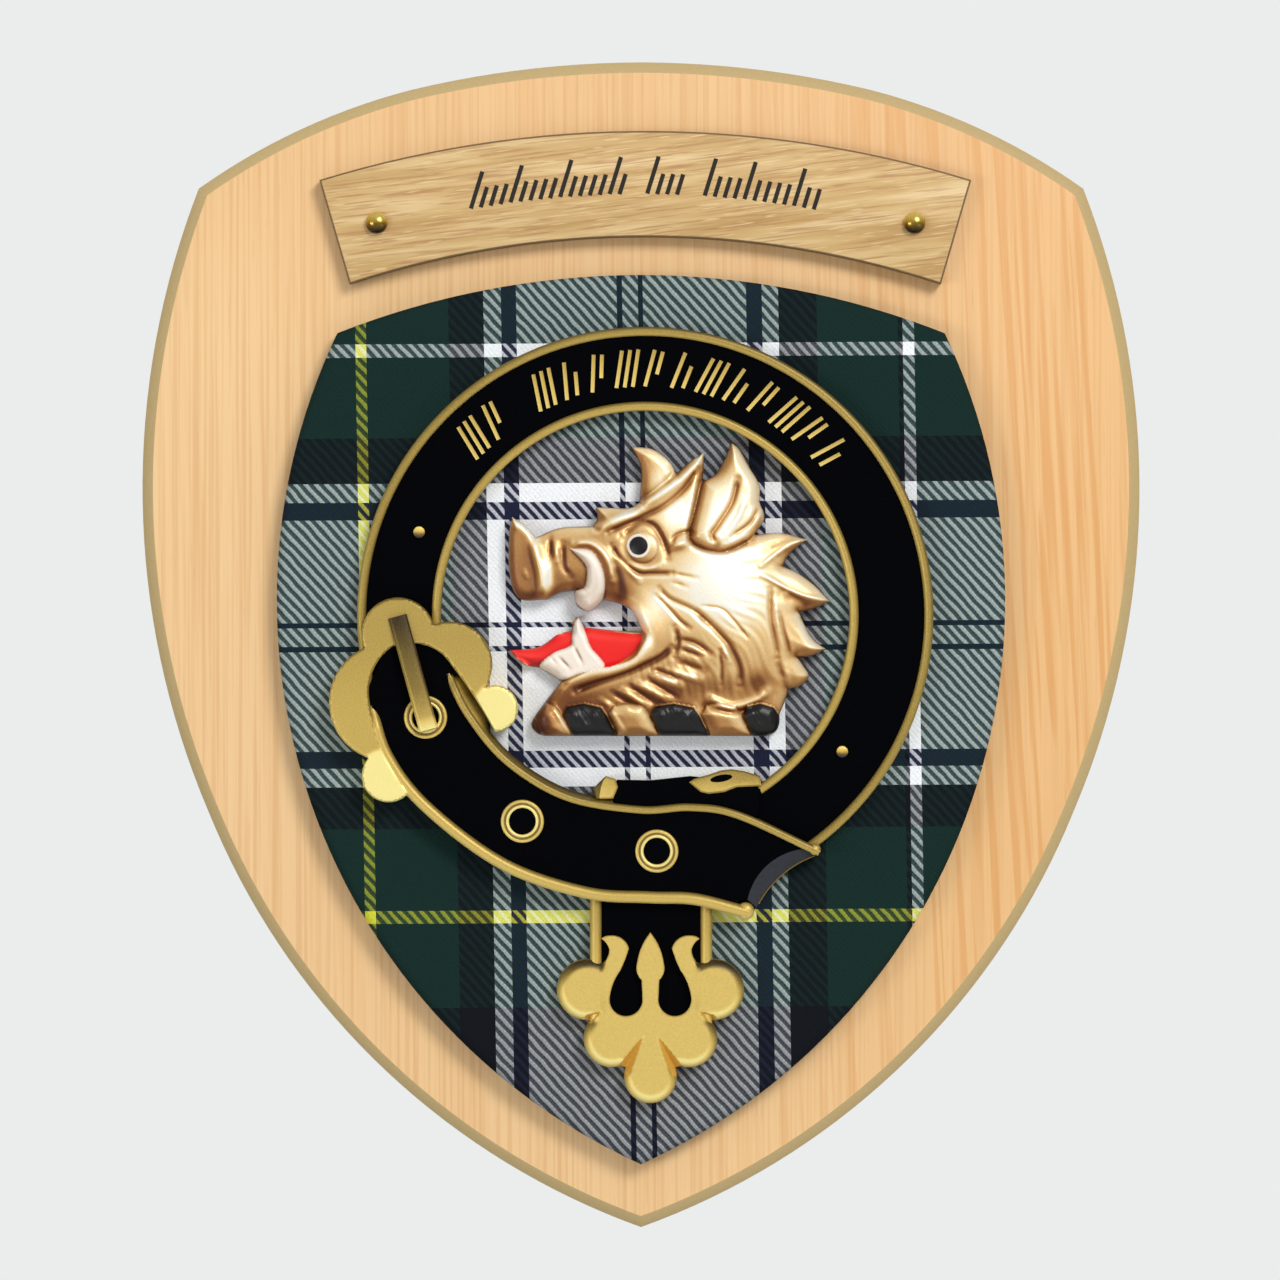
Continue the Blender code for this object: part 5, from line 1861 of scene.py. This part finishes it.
@dataclass
class BoarHead:
    """The boar's head on its wreath, a relief with its own paints."""

    carved: np.ndarray = field(init=False)
    step: float = 0.19
    wall: float = 1.8
    roll: float = 1.5
    roll_width: float = 1.8
    pole: Place = (1.0, 12.0)
    # The outline, from one sharp corner to the next
    stretches: tuple[tuple[Place, ...], ...] = (
        ((-15.9, -15.0), (20.7, -15.0)),
        ((20.7, -15.0), (22.0, -14.4), (22.7, -13.1), (22.8, -11.4)),
        ((22.8, -11.4), (23.7, -9.2), (24.3, -7.3)),
        ((24.3, -7.3), (26.4, -6.7), (27.6, -5.2), (26.9, -3.7), (25.8, -2.1)),
        ((25.8, -2.1), (28.2, -1.8), (30.4, -0.7)),
        ((30.4, -0.7), (28.3, 0.9), (26.9, 3.3), (26.0, 5.4)),
        ((26.0, 5.4), (28.6, 6.0), (31.0, 7.2)),
        ((31.0, 7.2), (28.5, 9.8), (25.6, 11.9), (23.3, 12.9)),
        ((23.3, 12.9), (24.5, 15.0), (27.3, 17.3)),
        ((27.3, 17.3), (23.0, 18.4), (18.7, 18.1)),
        ((18.7, 18.1), (20.3, 20.8), (19.5, 23.4)),
        ((19.5, 23.4), (19.4, 26.4), (17.8, 29.2), (16.2, 32.1), (14.9, 33.2)),
        ((14.9, 33.2), (13.7, 30.4), (12.2, 28.0), (10.1, 26.9)),
        ((10.1, 26.9), (10.3, 29.2), (10.3, 31.6)),
        ((10.3, 31.6), (8.1, 30.2), (5.8, 28.2)),
        ((5.8, 28.2), (4.5, 30.3), (1.8, 32.2), (-1.5, 32.6)),
        ((-1.5, 32.6), (0.0, 28.9), (-0.3, 23.4)),
        ((-0.3, 23.4), (-2.0, 22.5), (-7.4, 22.6)),
        ((-7.4, 22.6), (-7.2, 20.8), (-7.9, 19.5)),
        ((-7.9, 19.5), (-13.4, 19.2), (-17.4, 17.6)),
        ((-17.4, 17.6), (-19.0, 19.5), (-21.2, 21.0)),
        ((-21.2, 21.0), (-21.7, 18.1), (-21.6, 11.4), (-20.0, 7.6), (-15.5, 7.4)),
        ((-15.5, 7.4), (-13.1, 8.6), (-11.1, 8.9)),
        ((-11.1, 8.9), (-10.5, 6.4), (-8.4, 5.6), (-6.1, 7.4)),
        ((-6.1, 7.4), (-3.5, 6.7), (-1.3, 5.4), (0.2, 2.1)),
        ((0.2, 2.1), (-4.8, 2.4), (-9.3, 2.9)),
        ((-9.3, 2.9), (-10.4, 4.7)),
        ((-10.4, 4.7), (-11.2, 3.8), (-11.4, 2.3)),
        ((-11.4, 2.3), (-13.7, 1.7), (-17.0, -0.4), (-21.7, -0.9)),
        ((-21.7, -0.9), (-19.3, -3.2), (-16.7, -3.8)),
        ((-16.7, -3.8), (-13.1, -6.0)),
        ((-13.1, -6.0), (-15.7, -9.3), (-18.0, -12.8), (-17.2, -14.5), (-15.9, -15.0)),
    )
    masses: tuple[Mass, ...] = (
        Mass((12.0, 6.5), (14.0, 11.5), -20, 3.6),
        Mass((6.2, 16.5), (1.6, 0.8), 15, 0.8),
        Mass((12.0, -7.6), (7.0, 2.0), 0, -0.5),
        Mass((-1.0, 17.0), (9.0, 7.0), 35, 1.5),
        Mass((7.0, -5.5), (17.0, 6.5), 5, 1.6),
        Mass((-12.0, 13.0), (6.0, 4.5), 0, 1.1),
        Mass((11.0, 20.0), (7.0, 7.5), 60, 0.8),
    )
    forms: tuple[Form, ...] = (
        Form(((-22.3, -0.9), (-15.4, 1.1), (-11.7, 2.8), (-10.4, 5.4), (-8.9, 3.4), (0.2, 2.4), (0.0, -0.5),
              (-2.1, -2.7), (-8.4, -4.3), (-13.1, -6.2), (-17.0, -4.5)), -1.3, 0.9),
        Form(((-10.3, 4.6), (-11.1, 3.1), (-11.4, 1.3), (-11.7, -0.2), (-14.5, -1.4), (-16.7, -3.5),
              (-14.9, -4.8), (-12.9, -5.8), (-10.3, -4.8), (-7.9, -4.2), (-6.0, -3.5), (-6.9, -2.0),
              (-8.3, -0.4), (-9.1, 1.9), (-9.9, 3.9)),
             0.9, 0.8, 0.3),
        Form(((-11.7, 15.8), (-8.1, 15.3), (-6.1, 11.5), (-6.4, 7.1), (-8.8, 5.6), (-10.9, 7.2), (-11.1, 8.7),
              (-9.3, 9.5), (-8.9, 12.2), (-9.6, 13.7)), 1.2, 1.2),
        Form(((10.1, 26.7), (12.9, 28.7), (14.9, 33.2), (17.5, 29.9), (19.4, 26.5), (20.3, 21.5),
              (18.7, 18.1), (13.4, 15.3), (8.1, 17.3), (9.1, 22.6)), 1.6, 2.6),
        Form(((-1.6, 32.8), (1.8, 32.4), (4.5, 30.2), (5.1, 28.2), (0.7, 24.4), (-0.3, 23.8),
              (0.0, 28.9)), -0.6, 0.9),
    )
    folds: tuple[Fold, ...] = (
        Fold(((-21.0, 20.8), (-18.8, 19.0), (-17.9, 17.8), (-17.4, 15.5), (-16.5, 11.9),
              (-16.2, 8.4)), 0.9, 1.3),
        Fold(((-15.5, 13.7), (-15.4, 9.1)), 0.7, 0.5),
        Fold(((-19.2, 12.2), (-18.8, 11.2)), 0.35, 0.4),
        Fold(((-15.0, 17.8), (-15.0, 14.2)), 0.45, -0.5),
        Fold(((-14.1, 16.8), (-13.9, 13.8)), 0.4, 0.4),
        Fold(((-12.9, 16.7), (-12.7, 13.0), (-11.6, 11.2)), 0.5, -0.5),
        Fold(((-11.1, 16.8), (-8.3, 16.7), (-6.3, 15.2), (-5.1, 13.0), (-4.6, 10.7)), 0.55, 0.8),
        Fold(((-4.5, 13.0), (-3.6, 10.7), (-3.1, 7.4)), 0.7, -0.5),
        Fold(((-7.3, 19.0), (-2.0, 21.6), (1.5, 23.8), (5.0, 26.1), (8.1, 28.9), (9.8, 30.7)), 0.85, 1.2),
        Fold(((-5.3, 18.5), (0.3, 21.0), (3.8, 22.8), (7.1, 25.6), (9.3, 28.9)), 0.5, -0.8),
        Fold(((-2.1, 22.6), (1.5, 24.6), (5.1, 27.4), (8.1, 30.2)), 0.5, -0.6),
        Fold(((-3.1, 18.0), (-0.2, 20.0), (2.3, 19.3), (4.0, 16.2), (4.3, 14.2)), 0.6, -0.9),
        Fold(((-4.8, 16.3), (-3.5, 14.2), (-0.7, 11.9), (1.7, 11.7), (5.1, 11.7)), 0.45, -0.7),
        Fold(((-4.1, 14.7), (-2.0, 12.4), (-0.2, 10.4)), 0.45, 0.4),
        Fold(((-2.0, 13.2), (0.7, 12.5), (2.8, 13.0)), 0.4, 0.4),
        Fold(((5.0, 16.3), (5.6, 17.8), (7.3, 18.5), (8.6, 18.3)), 0.4, -0.55),
        Fold(((10.3, 28.9), (9.3, 23.9), (8.6, 20.8), (8.1, 18.0), (8.8, 16.7), (11.2, 15.7),
              (14.1, 15.7), (17.9, 17.2)), 0.6, -1.2),
        Fold(((15.9, 27.2), (14.9, 23.3), (12.6, 19.6), (11.6, 18.0), (12.4, 16.5)), 0.5, -0.9),
        Fold(((19.5, 22.8), (17.9, 20.0), (14.9, 17.8)), 0.4, -0.6),
        Fold(((17.2, 23.9), (16.0, 21.0), (14.2, 18.5)), 0.5, 0.3),
        Fold(((20.0, 21.9), (17.2, 17.8), (12.7, 15.7)), 0.45, 0.4),
        Fold(((3.0, 9.2), (4.6, 7.6), (7.6, 6.2), (9.3, 5.2), (10.9, 3.6)), 0.5, -0.6),
        Fold(((2.5, 8.1), (4.6, 5.9), (6.4, 3.9), (8.1, 2.6)), 0.4, -0.55),
        Fold(((5.3, 11.7), (9.3, 10.9)), 0.35, -0.3),
        Fold(((5.3, 10.2), (7.6, 9.5)), 0.35, -0.3),
        Fold(((9.9, 6.4), (13.1, 5.9), (14.9, 4.3), (17.4, 1.3)), 0.3, -0.35),
        Fold(((9.3, 5.2), (11.6, 3.1), (14.1, 0.3), (15.4, -2.0), (16.2, -4.3), (16.2, -6.5)), 0.6, -0.75),
        Fold(((12.9, -1.0), (13.2, -4.3), (13.1, -6.5)), 0.35, -0.4),
        Fold(((13.6, -0.4), (14.5, -2.7)), 0.4, 0.5),
        Fold(((5.5, 2.9), (6.0, 0.8), (5.5, -1.9)), 0.5, -0.6),
        Fold(((6.0, 0.8), (8.8, 0.3), (11.2, -1.5)), 0.5, -0.6),
        Fold(((6.9, 0.3), (10.1, -1.2)), 0.4, 0.45),
        Fold(((6.4, -0.7), (9.8, -1.9)), 0.4, -0.45),
        Fold(((6.0, -2.7), (10.3, -4.3)), 0.6, -0.55),
        Fold(((2.5, -5.2), (6.3, -6.7)), 0.6, 0.7),
        Fold(((4.6, -4.2), (9.6, -5.8)), 0.5, 0.55),
        Fold(((1.8, -4.0), (6.1, -5.3)), 0.45, -0.5),
        Fold(((-0.7, -6.3), (4.3, -9.0)), 0.6, 0.65),
        Fold(((-3.1, -7.5), (1.0, -10.1)), 0.55, 0.6),
        Fold(((-6.6, -9.0), (-4.8, -10.1)), 0.45, 0.4),
        Fold(((1.2, -5.7), (5.8, -8.6)), 0.45, -0.5),
        Fold(((-1.8, -6.8), (2.6, -9.8)), 0.45, -0.5),
        Fold(((-4.8, -7.8), (-1.3, -10.1)), 0.45, -0.4),
        Fold(((11.1, -8.6), (14.9, -10.1), (18.7, -9.1), (20.7, -7.6)), 0.6, 0.7),
        Fold(((10.4, -10.1), (15.2, -11.1), (19.2, -10.0)), 0.5, -0.6),
        Fold(((21.2, 9.2), (21.2, 5.1), (21.8, 1.4), (22.5, -2.0)), 0.45, -0.5),
        Fold(((22.5, 5.1), (23.6, 1.4), (24.5, -2.0)), 0.4, -0.45),
        Fold(((22.0, 6.7), (22.8, 2.4)), 0.4, 0.35),
        Fold(((19.7, 13.0), (23.5, 15.8), (26.9, 17.3)), 0.4, 0.45),
        Fold(((20.3, 16.0), (23.8, 17.3), (26.0, 17.8)), 0.7, -0.35),
        Fold(((20.0, 11.4), (25.8, 8.4), (30.9, 7.1)), 0.4, 0.5),
        Fold(((23.5, 8.4), (28.1, 5.9)), 0.9, -0.6),
        Fold(((26.3, 4.4), (27.3, 0.8), (29.6, -0.9)), 0.9, 0.4),
        Fold(((23.5, -3.8), (24.3, -6.3), (26.3, -6.8)), 0.7, 0.35),
        Fold(((22.2, -2.5), (23.5, -5.8)), 0.6, -0.45),
        Fold(((-10.7, -7.6), (-7.3, -6.3), (-2.5, -4.7), (1.0, -3.2), (3.3, -2.0),
              (5.0, -0.5)), 0.55, -0.9),
        Fold(((-13.6, -2.0), (-11.7, -4.0)), 0.3, -0.4),
        Fold(((-11.1, -0.2), (-9.6, -3.2)), 0.3, -0.4),
        Fold(((-14.9, -1.9), (-14.1, -3.0)), 0.25, -0.35),
        Fold(((-14.5, -9.8), (-12.7, -12.9), (-11.1, -14.9)), 0.45, 0.5),
        Fold(((-5.3, -10.1), (-3.8, -12.8), (-2.5, -14.9)), 0.5, 0.5),
        Fold(((8.8, -10.1), (10.3, -12.8), (11.7, -14.9)), 0.5, 0.4),
        Fold(((-11.6, -10.5), (-10.6, -12.4)), 0.3, 0.5),
        Fold(((-10.1, -10.5), (-8.4, -13.4)), 0.3, -0.4),
        Fold(((-7.9, -10.5), (-6.4, -12.8)), 0.35, 0.35),
        Fold(((2.8, -10.6), (4.1, -12.6)), 0.35, 0.5),
        Fold(((4.6, -10.6), (6.1, -13.4)), 0.3, -0.4),
        Fold(((7.1, -11.0), (8.3, -12.8)), 0.35, 0.35),
        Fold(((16.5, -11.1), (18.0, -12.8)), 0.35, 0.45),
        Fold(((18.4, -10.6), (20.0, -13.4)), 0.3, -0.4),
        Fold(((-12.9, -6.3), (-8.4, -4.8), (-4.8, -4.2), (-1.5, -2.9), (0.5, -0.5), (0.8, 2.1), (-0.2, 4.4),
              (-2.1, 6.4)), 1.05, 1.0),
    )
    # Painted highlights where the paint is made lighter; painted shade and darker paint where it is made
    # darker. How much lighter or darker the paint is, not a height
    light_and_paint_patches: tuple[Mass, ...] = (
        Mass((12.2, 8.5), (8.5, 6.5), -15, 0.55),
        Mass((5.8, 21.8), (2.2, 2.8), -20, 0.5),
        Mass((1.5, 5.9), (3.2, 3.8), 20, 0.45),
        Mass((14.2, 21.5), (4.5, 7.5), -10, 0.3),
        Mass((-15.4, 11.2), (0.9, 2.4), 0, 0.55),
        Mass((3.0, 27.0), (1.4, 2.4), 0, 0.3),
        Mass((-19.6, 12.4), (2.6, 7.5), 0, -0.14),
        Mass((-12.6, 15.4), (5.0, 3.4), 0, -0.13),
        Mass((-0.2, -8.6), (15.0, 1.8), 2, -0.2),
        Mass((19.4, -5.8), (1.6, 1.6), 0, -0.3),
        Mass((-16.6, -12.5), (2.6, 3.2), 0, -0.45),
        Mass((-11.5, -8.6), (5.0, 2.2), 20, -0.25),
        Mass((-15.0, 8.0), (5.5, 1.2), 0, -0.25),
        Mass((-3.5, 8.5), (1.6, 3.2), 15, -0.25),
        Mass((12.0, -5.5), (6.0, 2.4), 0, 0.1),
    )
    hollow_rounds: int = 16
    # The direction of the light that the painted light and shade follow
    shine: tuple[float, float, float] = (0.42, -0.72, 0.55)
    eye: Place = (0.33, 16.0)
    eye_radius: float = 2.35
    pupil: Place = (-0.4, 16.26)
    pupil_radius: float = 1.53
    white_radius: float = 1.95
    wreath_seams: tuple[float, ...] = (-18.0, -13.1, -5.6, 1.2, 9.6, 16.4, 22.8)
    wreath_top: float = -9.9
    wreath_foot: float = -15.0
    wreath_lean: float = 2.1
    tongue_areas: tuple[tuple[Place, ...], ...] = (
        ((-21.8, -0.7), (-20.2, -0.7), (-17.2, -0.4), (-15.5, 0.6), (-13.9, 1.6), (-12.2, 2.1), (-11.2, 2.1),
         (-11.2, 0.3), (-11.7, -0.9), (-14.2, -1.2), (-15.9, -2.5), (-16.7, -3.7), (-18.2, -3.5),
         (-19.8, -2.7)),
        ((-9.8, 3.1), (-5.6, 2.6), (-4.0, 2.1), (-1.3, 1.8), (0.3, 1.8), (0.0, 0.3), (-1.3, -1.5),
         (-3.6, -3.0), (-5.1, -3.7), (-6.0, -3.7), (-7.6, -1.7), (-8.6, 0.3), (-9.4, 1.9)),
    )

    def outline(self) -> Outline:
        """The head's closed outline.

        Returns:
            The outline, with points a step apart.
        """
        points: Outline = []
        for stretch in self.stretches:
            points += smooth(stretch, self.step)[:-1]
        return points

    def wreath_roll(self, k: int) -> tuple[Place, ...]:
        """The outline of one twisted roll of the wreath, with a domed top.

        Args:
            k: The roll's number, from the left.

        Returns:
            The roll's corners.
        """
        left, right = self.wreath_seams[k], self.wreath_seams[k + 1]
        top, foot, lean = self.wreath_top, self.wreath_foot - 0.6, self.wreath_lean
        return ((left + 0.2, top - 1.5), (left + lean, foot), (right + lean, foot), (right + 0.1, top - 1.7),
                (right - 0.9, top - 0.3), ((left + right) / 2, top + 0.35), (left + 1.0, top - 0.1))

    def fur(self, points: np.ndarray) -> np.ndarray:
        """Fine strands that fan out from the cheek.

        Args:
            points: The places asked for.

        Returns:
            How far the strands lift each one.
        """
        offset = points - np.array(self.pole)
        far = np.linalg.norm(offset, axis=1)
        angle = np.arctan2(offset[:, 1], offset[:, 0])
        bend = angle + 0.05 * np.sin(0.55 * far) + 0.02 * far * np.cos(angle)
        strands = np.sin(46 * bend + 1.1 * np.sin(0.7 * far))
        strands += 0.7 * np.sin(79 * bend + 2.0 + 0.9 * np.sin(0.45 * far))
        reachable = ease(far, 12.0, 17.0) * ease(points[:, 0], -6.0, 2.0) * ease(points[:, 1], 22.0, 16.0)
        return 0.022 * strands * reachable * ease(points[:, 1], -9.5, -8.0)

    def heights(self, points: np.ndarray) -> np.ndarray:
        """How far the head stands forward of its back at each point.

        Args:
            points: The places asked for.

        Returns:
            One height a place.
        """
        line = self.outline()
        inset = reach(points, [*line, line[0]])
        height = self.wall + self.roll * rounded(inset, self.roll_width)
        fade = rounded(inset, 4.0)
        for mass in self.masses:
            height += fade * mass.heights(points)
        for form in self.forms:
            height += form.heights(points)
        for k in range(len(self.wreath_seams) - 1):
            roll = self.wreath_roll(k)
            height += 1.6 * rounded(depth_inside(points, roll), 2.4)
        self.carved = sum(fold.heights(points) for fold in self.folds)
        height += (0.25 + 0.45 * fade) * self.carved
        ball = np.linalg.norm(points - np.array(self.eye), axis=1)
        height += 0.65 * np.sqrt(np.clip(1 - (ball / (self.eye_radius + 0.2)) ** 2, 0, 1))
        height -= 0.25 * ease(ball, 4.0, 2.9)
        height += fade * self.fur(points)
        return np.maximum(height, 0.8)

    def paints(self, mesh: bpy.types.Mesh) -> None:
        """Stores where each paint lies as distances inside its area.

        Args:
            mesh: The head's mesh, which gets one attribute a paint.
        """
        spots = np.array([(v.co.x, v.co.z) for v in mesh.vertices]) / MM
        pupil = self.pupil_radius - np.linalg.norm(spots - np.array(self.pupil), axis=1)
        tusk, teeth = self.forms[2], self.forms[1]
        areas = {
            "red": [depth_inside(spots, area) for area in self.tongue_areas],
            "cream": [form.inside(spots, 0.3) for form in (tusk, teeth)],
            "black": [pupil, *(depth_inside(spots, self.wreath_roll(k)) - 0.1 for k in (1, 3, 5))],
            "white": [np.minimum(self.white_radius - self.pupil_radius + pupil, -pupil)],
        }
        for name, parts in areas.items():
            store(mesh, name, np.max(parts, axis=0))

    def painted_light_and_wash(self, mesh: bpy.types.Mesh) -> None:
        """Stores the painted light and shade, with the brown paint in the hollows, as "tone": darker in
        hollows and on slopes away from the light.

        Args:
            mesh: The head's mesh, whose attribute is set.
        """
        count = len(mesh.vertices)
        places = vertex_rows(mesh, "co") / MM
        runs = np.empty(len(mesh.edges) * 2, int)
        mesh.edges.foreach_get("vertices", runs)
        runs = runs.reshape(-1, 2)
        height = -places[:, 1]
        near = height.copy()
        links = np.maximum(np.bincount(runs.ravel(), minlength=count), 1)
        for _ in range(self.hollow_rounds):
            total = sum(np.bincount(runs[:, k], near[runs[:, 1 - k]], count) for k in (0, 1))
            near = 0.4 * near + 0.6 * total / links
        hollow = near - height
        shine = np.array(self.shine)
        facing = vertex_rows(mesh, "normal") @ (shine / np.linalg.norm(shine))
        # Painted light on slopes that face the light; the darkening in hollows is both brown paint and
        # painted shade
        tone = 0.20 + 0.50 * ease(facing, 0.25, 1.0) - 0.8 * np.clip(hollow, -0.2, 0.2)
        # Painted highlight on the carved ridges and painted shade in the grooves
        tone[:len(self.carved)] += 0.26 * np.clip(self.carved, -0.8, 0.9)
        # Painted highlights and painted shade in patches, and darker paint
        for painted_light_and_wash in self.light_and_paint_patches:
            tone += painted_light_and_wash.heights(places[:, [0, 2]])
        store(mesh, "tone", np.clip(tone, 0, 1))

    def build(self) -> None:
        """Makes the head and dresses it."""
        shell = relief(self.outline(), self.step, self.heights, CAST_BACK)
        mesh = shell.mesh("boar_carving", 70)
        self.paints(mesh)
        self.painted_light_and_wash(mesh)
        piece = new_piece("boar_carving", mesh, [HeadFinish().material()])
        stand_for(piece, ["boar_head"])


@dataclass
class Studio:
    """The floor, the lights and the camera at the photograph's angle."""

    photo_side: float = 1280.0
    board_width: float = 165.0
    board_width_px: float = 998.0
    board_middle_px: float = 641.0
    board_level_px: float = 644.75
    distance: float = 1.5
    floor_drop: float = 0.35
    floor_half: float = 1.5
    sky_shades: tuple[float, float] = (0.35, 1.25)
    sky_strength: float = 0.42

    def camera(self) -> None:
        """Makes the camera, square on to the plaque, with the photograph's frame."""
        scale = self.board_width / self.board_width_px * MM
        half = self.photo_side / 2
        made = bpy.data.cameras.new("camera")
        made.sensor_width = 36.0
        made.lens = made.sensor_width * self.distance / (self.photo_side * scale)
        made.clip_start, made.clip_end = 0.05, 50.0
        holder = bpy.data.objects.new("camera", made)
        x = (half - self.board_middle_px) * scale
        z = (self.board_level_px - half) * scale
        holder.location = (x, -(self.distance + BOARD_FRONT * MM), z)
        holder.rotation_euler = (math.pi / 2, 0, 0)
        bpy.context.scene.collection.objects.link(holder)
        bpy.context.scene.camera = holder

    def light(self, name: str, place: tuple[float, float, float], side: float, power: float,
              tint: tuple[float, float, float] = (1, 1, 1)) -> None:
        """Adds a soft square light that faces the plaque.

        Args:
            name: The lamp's name.
            place: Where it stands, in metres.
            side: Its width.
            power: Its power in watts.
            tint: Its colour.
        """
        lamp = bpy.data.lights.new(name, "AREA")
        lamp.shape = "SQUARE"
        lamp.size = side
        lamp.energy = power
        lamp.color = tint
        holder = bpy.data.objects.new(name, lamp)
        holder.location = place
        holder.rotation_euler = (-Vector(place)).to_track_quat("-Z", "Y").to_euler()
        bpy.context.scene.collection.objects.link(holder)

    def floor(self) -> None:
        """Adds a plain pale floor under the plaque."""
        mesh = bpy.data.meshes.new("floor")
        side, level = self.floor_half, -self.floor_drop
        mesh.from_pydata([(x * side, y * side, level) for x, y in ((-1, -1), (1, -1), (1, 1), (-1, 1))],
                         [], [(0, 1, 2, 3)])
        pale = PlainFinish("pale_floor", colour(226, 228, 227), colour(230, 232, 231), 0.9,
                           specular=0.1).material()
        new_piece("floor", mesh, [pale])

    def world(self) -> None:
        """Makes a soft pale surrounding that the camera sees as an even light grey."""
        scene_world = bpy.data.worlds.new("studio")
        bpy.context.scene.world = scene_world
        scene_world.use_nodes = True
        nodes = scene_world.node_tree.nodes
        sky = NodeBuilder(scene_world.node_tree)
        seen = nodes["Background"]
        sky.feed(seen.inputs["Color"], colour(235, 237, 236))
        where = sky.add("ShaderNodeTexCoord")
        split = sky.add("ShaderNodeSeparateXYZ", {0: where.outputs["Generated"]})
        low, high = self.sky_shades
        height = sky.add("ShaderNodeMapRange", {
            "Value": split.outputs["Z"], "From Min": -0.5, "From Max": 0.5, "To Min": low, "To Max": high})
        lit = sky.add("ShaderNodeBackground", {
            "Color": height.outputs["Result"], "Strength": self.sky_strength})
        path = sky.add("ShaderNodeLightPath")
        both = sky.add("ShaderNodeMixShader", {
            0: path.outputs["Is Camera Ray"], 1: lit.outputs[0], 2: seen.outputs[0]})
        sky.feed(nodes["World Output"].inputs["Surface"], both.outputs[0])

    def build(self) -> None:
        """Sets the scene round the plaque."""
        self.camera()
        self.floor()
        self.world()
        self.light("key", (1.5, -3.0, 1.9), side=1.3, power=84.0, tint=(1.0, 0.99, 0.97))
        self.light("fill", (-2.3, -2.4, -0.7), side=1.3, power=48.0)
        scene = bpy.context.scene
        scene.view_settings.view_transform = "Standard"
        scene.view_settings.look = "None"


def main() -> None:
    """Builds and dresses every piece."""
    logging.basicConfig(level=logging.INFO, format="%(name)s: %(message)s")
    Studio().build()
    Board().build()
    Panel().build()
    NameStrip().build()
    brass = BrassFinish("brass", roughness=0.24, metallic=0.9).material()
    for name, node, place in (("strip_pin_left", "scroll_pin_left", (-43.6, 69.6)),
                              ("strip_pin_right", "scroll_pin_right", (45.1, 69.6))):
        Pin(name, node, place, STRIP_FRONT, radius=1.8, height=1.5, shank=0.5, tip=4.0).build(brass)
    dull_brass = BrassFinish("dull_brass", roughness=0.6, metallic=0.1).material()
    for name, node, place in (("strap_pin_left", "badge_pin_left", (-36.5, 18.5)),
                              ("strap_pin_right", "badge_pin_right", (33.1, -17.6))):
        Pin(name, node, place, BAND_FRONT, radius=0.95, height=0.35, shank=0.35,
            tip=11.0).build(dull_brass)
    Badge().build()
    BoarHead().build()


if __name__ == "__main__":
    main()
